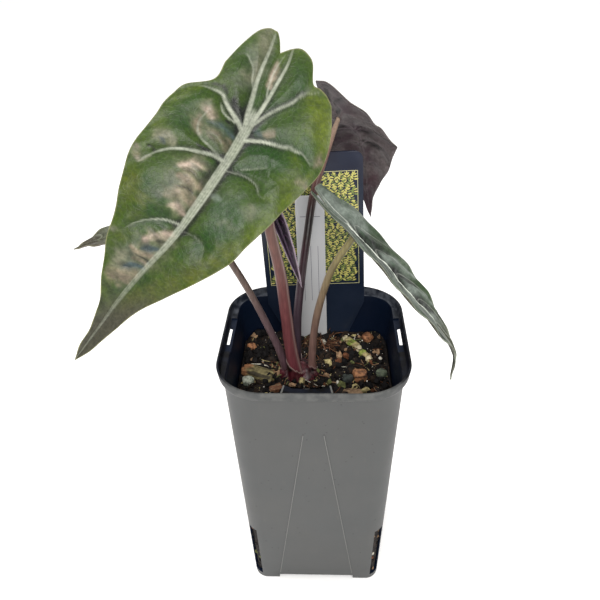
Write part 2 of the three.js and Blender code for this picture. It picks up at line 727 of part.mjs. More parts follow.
addNode("pot", pot(), plastic(0x5c5f62));
addNode("potting_mix", soilSolid(pieceSolids), earth(0x241a14));
addNode("crown", crownSolid(), plant(0x5b2a35));
addNode("stem_front", stemSolid("front"), plant(0x9a5c5c));
addNode("stem_back", stemSolid("back"), plant(0x5d3038));
addNode("stem_right", stemSolid("right"), plant(0x7d6a55));
addNode("stem_left", stemSolid("left"), plant(0x7a5a5e));
addNode("blade_front", bladeSolid(BLADES.front), plant(0x4f7a3a));
addNode("blade_back", bladeSolid(BLADES.back), plant(0x5e4c52));
addNode("blade_right", bladeSolid(BLADES.right), plant(0x6c7f70));
addNode("blade_left", bladeSolid(BLADES.left), plant(0x66785f));
addNode("blade_young", bladeSolid(BLADES.young), plant(0x3a2438));
addNode("name_label", nameLabel(), plastic(0xc8cad0));
addNode("picture_tag", pictureTag(), plastic(0x27324d));
PIECES.forEach((piece, i) => addNode(piece.name, pieceSolids[i], earth(piece.colour)));

const extent = new THREE.Box3().setFromObject(plantGroup);
const footprint = extent.getCenter(new THREE.Vector3());
plantGroup.position.set(-footprint.x, -footprint.y, -extent.min.z);

const group = new THREE.Group();
group.add(plantGroup);

export default group;
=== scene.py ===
"""Looks of a potted aroid house plant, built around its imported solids.

Sizes are millimetres from the middle of the pot's underside, with +X to the viewer's right,
+Y away from the viewer and +Z up. PotFrame turns them into metres in the row frame.
"""

from __future__ import annotations

import itertools
import json
import logging
import math
from dataclasses import dataclass, field
from enum import Enum

import bpy
import numpy as np
from mathutils import Matrix, Vector

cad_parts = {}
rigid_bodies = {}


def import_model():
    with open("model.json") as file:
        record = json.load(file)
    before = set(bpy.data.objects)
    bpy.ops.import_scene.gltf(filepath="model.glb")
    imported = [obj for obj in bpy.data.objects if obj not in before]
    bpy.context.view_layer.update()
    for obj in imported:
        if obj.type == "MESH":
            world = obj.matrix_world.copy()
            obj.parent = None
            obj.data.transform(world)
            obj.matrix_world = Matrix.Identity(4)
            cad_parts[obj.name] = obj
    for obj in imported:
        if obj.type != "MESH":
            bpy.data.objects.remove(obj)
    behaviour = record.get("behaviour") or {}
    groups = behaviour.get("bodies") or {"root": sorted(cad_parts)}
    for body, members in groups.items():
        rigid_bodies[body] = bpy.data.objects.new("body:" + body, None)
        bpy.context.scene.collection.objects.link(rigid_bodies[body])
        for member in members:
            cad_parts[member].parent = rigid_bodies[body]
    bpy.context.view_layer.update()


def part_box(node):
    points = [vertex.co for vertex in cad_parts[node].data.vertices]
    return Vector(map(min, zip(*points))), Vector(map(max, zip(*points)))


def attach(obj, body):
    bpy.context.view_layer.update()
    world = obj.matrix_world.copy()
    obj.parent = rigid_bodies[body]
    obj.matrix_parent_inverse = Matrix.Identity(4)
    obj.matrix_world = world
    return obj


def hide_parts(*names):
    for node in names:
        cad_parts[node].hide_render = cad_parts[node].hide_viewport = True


LOG = logging.getLogger("plant")
MILLIMETRE = 0.001
STUDIO_GAIN = 2.35
GLOSS_VEIL = 0.025
SOIL_LEVEL = 111.3
Array = np.ndarray
Pair = tuple[float, float]
Point = tuple[float, float, float]
Colour = tuple[float, float, float]
Random = np.random.Generator
Material = bpy.types.Material
Piece = bpy.types.Object
Socket = bpy.types.NodeSocket
Value = float | tuple | Socket | None


# Numbers, curves and noise


def sample(values: Array, x: Array) -> Array:
    """Smooth curve through evenly spaced values, a cubic through each four neighbours.

    Args:
        values: numbers or points, evenly spaced along the curve.
        x: places from 0 to 1.

    Returns:
        The curve's value at each place.
    """
    table = np.asarray(values, float)
    last = len(table) - 1
    place = np.clip(np.asarray(x, float), 0, 1) * last
    i = np.minimum(place.astype(int), last - 1)
    f = place - i
    if table.ndim > 1:
        f = f[..., None]
    padded = np.concatenate([[2 * table[0] - table[1]], table, [2 * table[-1] - table[-2]]])
    before, here, ahead, after = (padded[i + k] for k in range(4))
    square = 2 * before - 5 * here + 4 * ahead - after
    cube = 3 * here - before - 3 * ahead + after
    return 0.5 * (2 * here + (ahead - before) * f + square * f**2 + cube * f**3)


def unit(vectors: Array) -> Array:
    """Vectors divided by their lengths."""
    return vectors / np.maximum(np.linalg.norm(vectors, axis=-1, keepdims=True), 1e-12)


def direction(points: Array, x: Array) -> Array:
    """Direction of a curve at x, from the difference of two near points."""
    step = 0.002
    return unit(sample(points, np.minimum(x + step, 1)) - sample(points, np.maximum(x - step, 0)))


def axes(path: Array, x: Array) -> tuple[Array, Array]:
    """Two directions square to a path and to each other, at places x along it.

    Args:
        path: points of the path, evenly spaced.
        x: places from 0 to 1.

    Returns:
        Both directions at each place.
    """
    along = direction(path, x)
    across = unit(np.cross(along, [0.13, 1, 0.05]))
    return across, np.cross(along, across)


def on_plane(x: Array, y: Array) -> Array:
    """Points of a plane, for noise."""
    return np.stack([x, y, 0 * x], axis=-1)


def ease(low: float, high: float, x: Array) -> Array:
    """Cubic step: 0 below low, 1 above high, 3f^2 - 2f^3 between them."""
    f = np.clip((x - low) / (high - low), 0, 1)
    return f * f * (3 - 2 * f)


def noise(points: Array, cell: float, seed: float = 0.0) -> Array:
    """Smooth random field from -1 to 1: lattice corners hashed by a sine, blended cubically.

    Args:
        points: places.
        cell: size of a lattice cell.
        seed: changes the field.

    Returns:
        The field at each place.
    """
    scaled = np.asarray(points, float) / cell
    base = np.floor(scaled)
    f = scaled - base
    weights = f * f * (3 - 2 * f)
    total = np.zeros(scaled.shape[:-1])
    for corner in itertools.product((0, 1), repeat=3):
        hashed = np.sin((base + corner) @ np.array([127.1, 311.7, 74.7]) + 53.3 * seed) * 43758.5453
        share = np.prod(np.where(corner, weights, 1 - weights), axis=-1)
        total += (hashed - np.floor(hashed)) * share
    return 2 * total - 1


def rough(points: Array, cell: float, octaves: int, seed: float = 0.0) -> Array:
    """Sum of noise fields, each of half the cell and half the height of the last."""
    return sum(noise(points, cell / 2**k, seed + k) / 2**k for k in range(octaves))


def tint(colour: Colour) -> Colour:
    """Paint that shows as a display colour (0 to 255) under the studio's light.

    Each share c becomes ((c + 0.055) / 1.055)^2.4, less the white veil that gloss lays over it,
    divided by how much the light lifts it.

    Args:
        colour: red, green and blue from 0 to 255.

    Returns:
        The paint's linear red, green and blue.
    """
    light = (((c / 255 + 0.055) / 1.055) ** 2.4 for c in colour)
    red, green, blue = (max(c - GLOSS_VEIL, 0.15 * c) / STUDIO_GAIN for c in light)
    return red, green, blue


def layered(under: Array, over: Array, share: Array) -> Array:
    """One colour laid over another, by a share from 0 to 1 at each point."""
    part = np.clip(share, 0, 1)[..., None]
    return np.asarray(under) * (1 - part) + np.asarray(over) * part


def turned(angle_deg: float) -> Array:
    """Rotation matrix about +Z."""
    a = math.radians(angle_deg)
    return np.array([[math.cos(a), -math.sin(a), 0], [math.sin(a), math.cos(a), 0], [0, 0, 1]])


def random_turns(count: int, random: Random) -> Array:
    """Random rotation matrices, from the two first columns made square to each other.

    Args:
        count: how many.
        random: source of random numbers.

    Returns:
        The matrices.
    """
    first = unit(random.normal(size=(count, 3)))
    second = random.normal(size=(count, 3))
    second = unit(second - first * np.sum(first * second, axis=1, keepdims=True))
    return np.stack([first, second, np.cross(first, second)], axis=1)


# Meshes


@dataclass
class Surface:
    """One mesh in the making: points in millimetres, quads (a triangle repeats its last index)."""

    points: Array
    faces: Array
    looks: dict[str, Array] = field(default_factory=dict)
    slots: Array | None = None

    def __post_init__(self) -> None:
        """Gives every face the first material where no numbers are given."""
        if self.slots is None:
            self.slots = np.zeros(len(self.faces), int)

    def plain(self, number: int) -> Surface:
        """The same shape with one material number and no looks."""
        return Surface(self.points, self.faces, slots=np.full(len(self.faces), number))


def joined(*parts: Surface) -> Surface:
    """Surfaces as one, keeping the looks that all of them have.

    Args:
        parts: the surfaces.

    Returns:
        One surface.
    """
    starts = np.cumsum([0] + [len(p.points) for p in parts[:-1]])
    names = [name for name in parts[0].looks if all(name in p.looks for p in parts)]
    return Surface(
        np.concatenate([p.points for p in parts]),
        np.concatenate([p.faces + start for p, start in zip(parts, starts)]),
        {name: np.concatenate([p.looks[name] for p in parts]) for name in names},
        np.concatenate([p.slots for p in parts]),
    )


def grid_faces(rows: int, columns: int, loop: bool = False, ring: bool = False) -> Array:
    """Quads of a grid of points.

    Args:
        rows: rows of points.
        columns: points in a row.
        loop: whether each row closes on itself.
        ring: whether the last row joins the first.

    Returns:
        Four point numbers for each quad.
    """
    i, j = np.meshgrid(np.arange(rows - (not ring)), np.arange(columns - (not loop)), indexing="ij")
    here, above, after = i * columns, (i + 1) % rows * columns, (j + 1) % columns
    return np.stack([q.ravel() for q in (here + j, here + after, above + after, above + j)], axis=1)


def closed_faces(rows: int, columns: int) -> Array:
    """Faces of a grid of closed rows, and a fan at each end to the two points after the grid.

    Args:
        rows: rows of points.
        columns: points in a row.

    Returns:
        Point numbers of each face.
    """
    j = np.arange(columns)
    after, base, hub = (j + 1) % columns, (rows - 1) * columns, np.full(columns, rows * columns)
    low = np.stack([after, j, hub, hub], axis=1)
    high = np.stack([base + j, base + after, hub + 1, hub + 1], axis=1)
    return np.concatenate([grid_faces(rows, columns, loop=True), low, high])


def copied_faces(faces: Array, count: int, size: int) -> Array:
    """Faces of many copies of a shape with size points each."""
    return (faces[None] + (np.arange(count) * size)[:, None, None]).reshape(-1, 4)


def tube(path: Array, radii: Array, sections: int, sides: int, squash: float = 1.0) -> Surface:
    """Closed round tube: rings square to a smooth path, and a point at each end.

    Args:
        path: evenly spaced points of the centre line.
        radii: evenly spaced radii.
        sections: rings along it.
        sides: points in a ring.
        squash: share of its width that the tube is deep.

    Returns:
        The tube, with "along" from 0 to 1 and "around" from 0 to 1 as looks.
    """
    x = np.linspace(0, 1, sections)
    angle = np.linspace(0, 2 * np.pi, sides, endpoint=False)
    centre = sample(path, x)
    across, up = axes(path, x)
    ring = across[:, None] * np.cos(angle)[:, None] + squash * up[:, None] * np.sin(angle)[:, None]
    points = (centre[:, None] + sample(radii, x)[:, None, None] * ring).reshape(-1, 3)
    looks = {
        "along": np.concatenate([np.repeat(x, sides), [0, 1]]),
        "around": np.concatenate([np.tile(angle / (2 * np.pi), sections), [0, 0]]),
    }
    return Surface(np.concatenate([points, centre[:1], centre[-1:]]), closed_faces(sections, sides), looks)


def ball(rows: int, columns: int) -> Surface:
    """Unit ball as a grid of latitude and longitude, with a point at each pole.

    Args:
        rows: rows between the poles.
        columns: points in a row.

    Returns:
        The ball.
    """
    lat = np.linspace(-np.pi / 2, np.pi / 2, rows + 2)[1:-1]
    lon = np.linspace(0, 2 * np.pi, columns, endpoint=False)
    a, b = np.meshgrid(lat, lon, indexing="ij")
    points = np.stack([np.cos(a) * np.cos(b), np.cos(a) * np.sin(b), np.sin(a)], axis=-1).reshape(-1, 3)
    return Surface(np.concatenate([points, [[0, 0, -1], [0, 0, 1]]]), closed_faces(rows, columns))


def placed(name: str, data: bpy.types.ID) -> Piece:
    """Object of some data, linked into the scene."""
    bpy.context.scene.collection.objects.link(made := bpy.data.objects.new(name, data))
    return made


@dataclass
class PotFrame:
    """Where the pot stands in the row frame, and how pieces get there."""

    origin: Array

    @classmethod
    def of(cls, node: str) -> PotFrame:
        """Frame whose origin is the middle of a node's underside."""
        low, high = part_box(node)
        return cls(np.array([(low.x + high.x) / 2, (low.y + high.y) / 2, low.z]))

    def metres(self, points: Array) -> Array:
        """Millimetres in the pot's frame as metres in the row frame."""
        return np.asarray(points, float) * MILLIMETRE + self.origin

    def mesh(self, name: str, surface: Surface, materials: list[Material]) -> bpy.types.Mesh:
        """Mesh of a surface, in metres in the row frame.

        Args:
            name: the mesh's name.
            surface: its points, faces and material numbers.
            materials: its materials, in the order of the surface's numbers.

        Returns:
            The mesh.
        """
        mesh = bpy.data.meshes.new(name)
        is_triangle = surface.faces[:, 3] == surface.faces[:, 2]
        keep = np.ones(surface.faces.shape, bool)
        keep[is_triangle, 3] = False
        corners = surface.faces[keep]
        starts = np.cumsum(np.where(is_triangle, 3, 4)) - np.where(is_triangle, 3, 4)
        mesh.vertices.add(len(surface.points))
        mesh.vertices.foreach_set("co", self.metres(surface.points).astype(np.float32).ravel())
        mesh.loops.add(len(corners))
        mesh.loops.foreach_set("vertex_index", corners.astype(np.int32))
        mesh.polygons.add(len(starts))
        mesh.polygons.foreach_set("loop_start", starts.astype(np.int32))
        mesh.polygons.foreach_set("material_index", surface.slots.astype(np.int32))
        mesh.update(calc_edges=True)
        for material in materials:
            mesh.materials.append(material)
        return mesh

    def piece(
        self, name: str, surface: Surface, materials: list[Material], slot: str, nodes: tuple[str, ...] = (),
        sharp_deg: float = 180,
    ) -> Piece:
        """Makes a Blender object of a surface, dresses it and hangs it on the frame.

        Args:
            name: the piece's name.
            surface: its points, faces, looks and material numbers.
            materials: its materials, in the order of the surface's numbers.
            slot: the record's material slot; not used.
            nodes: solids that it stands for.
            sharp_deg: angle above which an edge is drawn sharp.

        Returns:
            The finished object.
        """
        mesh = self.mesh(name, surface, materials)
        for look, values in surface.looks.items():
            kind, key = "FLOAT", "value"
            if values.ndim > 1:
                kind, key = "FLOAT_COLOR", "color"
                values = np.column_stack([values, np.ones(len(values))])
            mesh.attributes.new(look, kind, "POINT").data.foreach_set(key, values.astype(np.float32).ravel())
        mesh.validate()
        mesh.shade_smooth()
        if sharp_deg < 180:
            mesh.set_sharp_from_angle(angle=math.radians(sharp_deg))
        piece = placed(name, mesh)
        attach(piece, "root")
        if nodes:
            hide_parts(*nodes)
        LOG.info("%s: %d points", name, len(mesh.vertices))
        return piece


# Finishes


class Paint:
    """A node material in the making, around one Principled shader."""

    def __init__(self, name: str, roughness: float = 0.5, specular: float = 0.5) -> None:
        """Makes the material with its shader.

        Args:
            name: its name.
            roughness: its roughness.
            specular: its specular level.
        """
        self.material = bpy.data.materials.new(name)
        self.material.use_nodes = True
        self.tree = self.material.node_tree
        self.shader = self.tree.nodes["Principled BSDF"]
        self.shader.inputs["Roughness"].default_value = roughness
        self.shader.inputs["Specular IOR Level"].default_value = specular
        self.place = self.node("ShaderNodeTexCoord").outputs["Object"]

    def node(self, kind: str, inputs: dict | None = None, **settings: str) -> bpy.types.Node:
        """Adds a node; each input is a value, or a socket to link from.

        Args:
            kind: Blender's name for its kind.
            inputs: values by input.
            settings: values by property.

        Returns:
            The node.
        """
        made = self.tree.nodes.new(kind)
        for key, value in settings.items():
            setattr(made, key, value)
        for key, value in (inputs or {}).items():
            self.feed(made.inputs[key], value)
        return made

    def feed(self, socket: Socket, value: Value) -> None:
        """Links or sets one input, and leaves it where the value is None.

        Args:
            socket: the input.
            value: a value, a socket or None.
        """
        if isinstance(value, Socket):
            self.tree.links.new(value, socket)
        elif value is not None:
            is_colour = socket.type == "RGBA" and len(value) == 3
            socket.default_value = (*value, 1.0) if is_colour else value

    def look(self, name: str, colour: bool = False) -> Socket:
        """A value or colour kept at the mesh's points."""
        made = self.node("ShaderNodeAttribute", attribute_name=name)
        return made.outputs["Color" if colour else "Fac"]

    def math(self, operation: str, *values: Value) -> Socket:
        """One operation on numbers or sockets."""
        return self.node("ShaderNodeMath", dict(enumerate(values)), operation=operation).outputs[0]

    def mapped(self, scale: Point, turn: Point = (0, 0, 0)) -> Socket:
        """Object coordinates stretched by a scale and turned."""
        inputs = {"Vector": self.place, "Scale": scale, "Rotation": turn}
        return self.node("ShaderNodeMapping", inputs).outputs[0]

    def mottle(self, scale: float, detail: float = 3.0, vector: Value = None, distortion: float = 0.0) -> Socket:
        """Noise from 0 to 1, at a scale in spots a metre."""
        inputs = {"Vector": vector or self.place, "Scale": scale, "Detail": detail, "Distortion": distortion}
        return self.node("ShaderNodeTexNoise", inputs).outputs["Fac"]

    def cells(self, scale: float, feature: str = "F1") -> Socket:
        """Distance within random cells, at a scale in cells a metre."""
        made = self.node("ShaderNodeTexVoronoi", {"Vector": self.place, "Scale": scale}, feature=feature)
        return made.outputs["Distance"]

    def ramp(self, value: Value, low: float, high: float) -> Socket:
        """0 at low, 1 at high, smooth between."""
        inputs = {"Value": value, "From Min": low, "From Max": high}
        return self.node("ShaderNodeMapRange", inputs, interpolation_type="SMOOTHSTEP").outputs["Result"]

    def mix(self, share: Value, first: Value, second: Value, blend: str = "MIX") -> Socket:
        """Colour between two others, or their product where blend is MULTIPLY."""
        inputs = {0: share, 6: first, 7: second}
        return self.node("ShaderNodeMix", inputs, data_type="RGBA", blend_type=blend).outputs[2]

    def own_colour(self, tone: Value) -> Socket:
        """The mesh's own colour at each point, multiplied by a tone."""
        return self.mix(1, self.look("shade", colour=True), tone, "MULTIPLY")

    def bump(self, height: Value, depth_mm: float, strength: float = 1.0, under: Value = None) -> Socket:
        """Normal from a height of 0 to 1 that stands for a depth, over another normal."""
        inputs = {"Height": height, "Strength": strength, "Distance": depth_mm * MILLIMETRE, "Normal": under}
        return self.node("ShaderNodeBump", inputs).outputs[0]

    def finish(self, colour: Value, roughness: Value = None, normal: Value = None) -> Material:
        """Links what is given to the shader.

        Args:
            colour: base colour.
            roughness: roughness.
            normal: normal.

        Returns:
            The material.
        """
        for key, value in (("Base Color", colour), ("Roughness", roughness), ("Normal", normal)):
            self.feed(self.shader.inputs[key], value)
        return self.material


@dataclass(frozen=True)
class StemFinish:
    """Satin stem skin: display colours at even steps from foot to top, and a pale line, a painted highlight.

    The painted highlight lies at an angle round the stem, in radians from its left side towards the viewer.
    """

    name: str
    colours: tuple[Colour, ...]
    line: Colour
    highlight_at: float
    highlight_share: float = 0.0

    def shade(self, along: Array, around: Array, spot: Array) -> Array:
        """Colour of each point: a smooth change along, painted light on the left side and painted shade on the
        right, and the pale line, a painted highlight.

        Args:
            along: places from foot to top.
            around: angles round the stem.
            spot: the points.

        Returns:
            Linear red, green and blue of each point.
        """
        colour = sample(np.array([tint(c) for c in self.colours]), along)
        # Painted light and shade: lighter on the stem's left side, darker on its right.
        colour = colour * (1 + 0.28 * np.cos(around) + 0.1 * rough(spot, 3, 3, 71))[..., None]
        # The pale line along the stem is a painted highlight.
        line = np.exp(-((np.sin((around - self.highlight_at) / 2) / 0.11) ** 2))
        return np.clip(layered(colour, tint(self.line), self.highlight_share * line), 0, 1)

    def build(self) -> Material:
        """Point colours with fine stripes lengthwise and small dark spots.

        Returns:
            The material.
        """
        paint = Paint(self.name, 0.38, 0.35)
        stripe = paint.ramp(paint.mottle(1, 2, paint.mapped((1400, 1400, 60))), 0.3, 0.8)
        colour = paint.own_colour(paint.mix(stripe, (0.82, 0.8, 0.8), (1.25, 1.22, 1.2)))
        spots = paint.math("MULTIPLY", paint.ramp(paint.cells(700), 0.16, 0.04), 0.3)
        colour = paint.mix(spots, colour, tint(self.colours[0]))
        return paint.finish(colour, None, paint.bump(stripe, 0.06, 0.6))


@dataclass(frozen=True)
class PlainPlastic:
    """Moulded plastic: one colour with a faint mottle, fine scuffs and a moulded grain."""

    name: str
    colour: Colour
    scuff: Colour
    roughness: float
    specular: float = 0.4
    scuff_share: float = 0.3
    pits: float = 0.0

    def build(self) -> Material:
        """Colour clouds, stretched scuff marks, and roughness that follows them.

        Returns:
            The material.
        """
        paint = Paint(self.name, self.roughness, self.specular)
        cloud = paint.ramp(paint.mottle(35, 4), 0.3, 0.75)
        colour = paint.mix(paint.math("MULTIPLY", cloud, 0.22), self.colour, self.scuff)
        marks = paint.ramp(paint.mottle(1, 5, paint.mapped((420, 420, 90), (0.3, 0.2, 0))), 0.6, 0.78)
        marks = paint.math("MULTIPLY", marks, self.scuff_share)
        colour = paint.mix(marks, colour, self.scuff)
        if self.pits:
            pits = paint.math("MULTIPLY", paint.ramp(paint.cells(190), 0.1, 0.05), self.pits)
            colour = paint.mix(pits, colour, (0.02, 0.02, 0.022))
        roughness = paint.math("MULTIPLY_ADD", paint.mottle(90, 4), 0.18, self.roughness - 0.09)
        normal = paint.bump(paint.mottle(2600, 2), 0.02, 0.5)
        return paint.finish(colour, roughness, normal)


@dataclass(frozen=True)
class EarthFinish:
    """Loose matter with its own colour at each point, broken up by noise."""

    name: str
    roughness: float = 0.85
    specular: float = 0.15
    grain: float = 900.0
    depth: float = 0.25

    def build(self) -> Material:
        """Point colours times a fine mottle, with a rough bump.

        Returns:
            The material.
        """
        paint = Paint(self.name, self.roughness, self.specular)
        mottle = paint.ramp(paint.mottle(self.grain, 5), 0.2, 0.8)
        colour = paint.own_colour(paint.mix(mottle, (0.45, 0.42, 0.4), (1.25, 1.2, 1.15)))
        return paint.finish(colour, None, paint.bump(paint.mottle(self.grain * 1.4, 5), self.depth, 0.8))


class Finish(Enum):
    """Finishes of the pot, the label and the tag."""

    POT_OUTSIDE = PlainPlastic("pot_outside", tint((106, 108, 108)), tint((122, 120, 116)), 0.5, 0.3, pits=0.6)
    # The same plastic as the outside, painted near-black inside the pot: painted shade.
    POT_INSIDE = PlainPlastic("pot_inside", (0.002, 0.0055, 0.016), (0.007, 0.012, 0.024), 0.5, 0.12)
    # Pale: a painted highlight on the raised lines and the label plate's edge.
    POT_LINE = PlainPlastic("pot_line", tint((152, 153, 150)), tint((120, 121, 120)), 0.5, 0.3, 0.6)
    LABEL = PlainPlastic("label", tint((247, 249, 252)), tint((236, 233, 228)), 0.45, 0.3, 0.15)
    LABEL_RULE = PlainPlastic("label_rule", (0.10, 0.10, 0.12), (0.16, 0.16, 0.18), 0.6, 0.3, 0.2)
    TAG_LINE = PlainPlastic("tag_line", (0.5, 0.48, 0.24), (0.36, 0.36, 0.16), 0.5, 0.3, 0.4)
    TAG_LEAFY = PlainPlastic("tag_leafy", (0.46, 0.43, 0.12), (0.2, 0.22, 0.06), 0.45, 0.3, 0.9)
    TAG_OLIVE = PlainPlastic("tag_olive", (0.16, 0.2, 0.05), (0.07, 0.085, 0.03), 0.45, 0.3, 0.9)

    def made(self) -> Material:
        """The material, made once and then shared."""
        return bpy.data.materials.get(self.value.name) or self.value.build()


# Leaves


class Tone(Enum):
    """Display colours that show in bands over the leaves, each from 0 to 255: the leaves' own colours, and
    painted highlights, reflections, sheen and shade.
    """

    PALE = (196, 194, 174)
    # Painted highlight.
    PINK = (216, 195, 177)
    # Painted highlight.
    TAN = (154, 142, 121)
    # The leaf's own greyish tan, partly painted sheen.
    DUSTY = (146, 146, 122)
    # The leaf's own bronze, partly painted sheen.
    BRONZE = (128, 121, 102)
    # Painted reflection, bluish, in the hollows of the ripples.
    SLATE = (84, 99, 100)
    GREY = (102, 110, 92)
    SHADOW = (36, 45, 35)
    DEEP = (68, 92, 50)
    LIME = (112, 128, 50)
    OLIVE = (104, 113, 52)
    # Painted highlight, silvery.
    SILVER = (160, 172, 162)
    PLUM = (100, 80, 84)
    # Painted shade in the back leaf's folds.
    DUSK = (50, 42, 46)
    # Painted light between the back leaf's folds.
    ASH = (124, 116, 116)


@dataclass(frozen=True)
class Stroke:
    """A soft band over a blade: points of (t, r), half width, how strongly it colours, rise."""

    points: tuple[Pair, ...]
    tone: Tone
    half: float = 1.5
    share: float = 0.8
    rise: float = 0.0


@dataclass(frozen=True)
class Vein:
    """A vein over the blade: points of (t, r), half widths in millimetres, and how far it sinks."""

    points: tuple[Pair, ...]
    base: float = 0.8
    tip: float = 0.25
    sink: float = 1.0
    bright: float = 1.0


@dataclass(frozen=True)
class LeafSkin:
    """One face of a blade: two clouded colours, those of its rim, tip, veins and margin, and the painted shade of
    the gutters beside its veins.

    Colours are display values from 0 to 255.
    """

    name: str
    deep: Colour
    light: Colour
    rim: Colour
    tip: Colour
    vein: Colour
    margin: Colour
    gutter_shade: Colour
    roughness: float = 0.38
    specular: float = 0.25
    blotch: float = 0.13
    glow: float = 1.0

    def shade(self, looks: dict[str, Array], spot: Array, bands: list[tuple[Stroke, Array]]) -> Array:
        """Colour of each point: clouds first, then one layer over another by its share.

        Args:
            looks: shares of the rim, tip, painted shade of the gutters, vein and margin at each point.
            spot: places in the flattened blade, for the clouds.
            bands: each band with its share at each point, in painting order; bands of the leaf's own colours,
                painted highlights, painted reflections and painted shade.

        Returns:
            Linear red, green and blue of each point.
        """
        colour = layered(tint(self.deep), tint(self.light), ease(-0.8, 0.8, rough(spot, 11, 4, 21)))
        colour = layered(colour, tint(self.rim), looks["rim"])
        # Painted shade in the gutters beside the veins and the midrib.
        colour = layered(colour, tint(self.gutter_shade), looks["gutter_shade"])
        streaks = 1 + 0.45 * rough(spot * [0.35, 1, 1], 1.5, 3, 33)
        # The bands lay the leaf's own colours and painted highlights, reflections and shade.
        for band, share in bands:
            colour = layered(colour, tint(band.tone.value), band.share * share * streaks)
        colour = layered(colour, tint(self.tip), looks["tip"])
        colour = colour * (1 + self.blotch * rough(spot * [0.6, 1, 1], 2.2, 3, 51))[..., None]
        colour = layered(colour, np.array(tint(self.vein)) * self.glow, looks["vein"])
        return np.clip(layered(colour, tint(self.margin), looks["margin"]), 0, 1)

    def build(self) -> Material:
        """Point colours under a fine mottle and a net of small veins, with a fine grain.

        Returns:
            The material.
        """
        paint = Paint(self.name, self.roughness, self.specular)
        mottle = paint.ramp(paint.mottle(900, 5), 0.25, 0.75)
        shade = paint.mix(mottle, (0.74, 0.76, 0.73), (1.25, 1.23, 1.24))
        colour = paint.own_colour(shade)
        net = paint.ramp(paint.cells(520, "DISTANCE_TO_EDGE"), 0.08, 0)
        colour = paint.mix(paint.math("MULTIPLY", net, 0.03), colour, tint(self.vein))
        roughness = paint.math("MULTIPLY_ADD", paint.mottle(240, 3), 0.16, self.roughness - 0.08)
        roughness = paint.math("MULTIPLY_ADD", paint.look("vein"), 0.12, roughness)
        grain = paint.bump(paint.mottle(420, 4), 0.22, 0.8)
        return paint.finish(colour, roughness, paint.bump(net, 0.04, 0.6, grain))


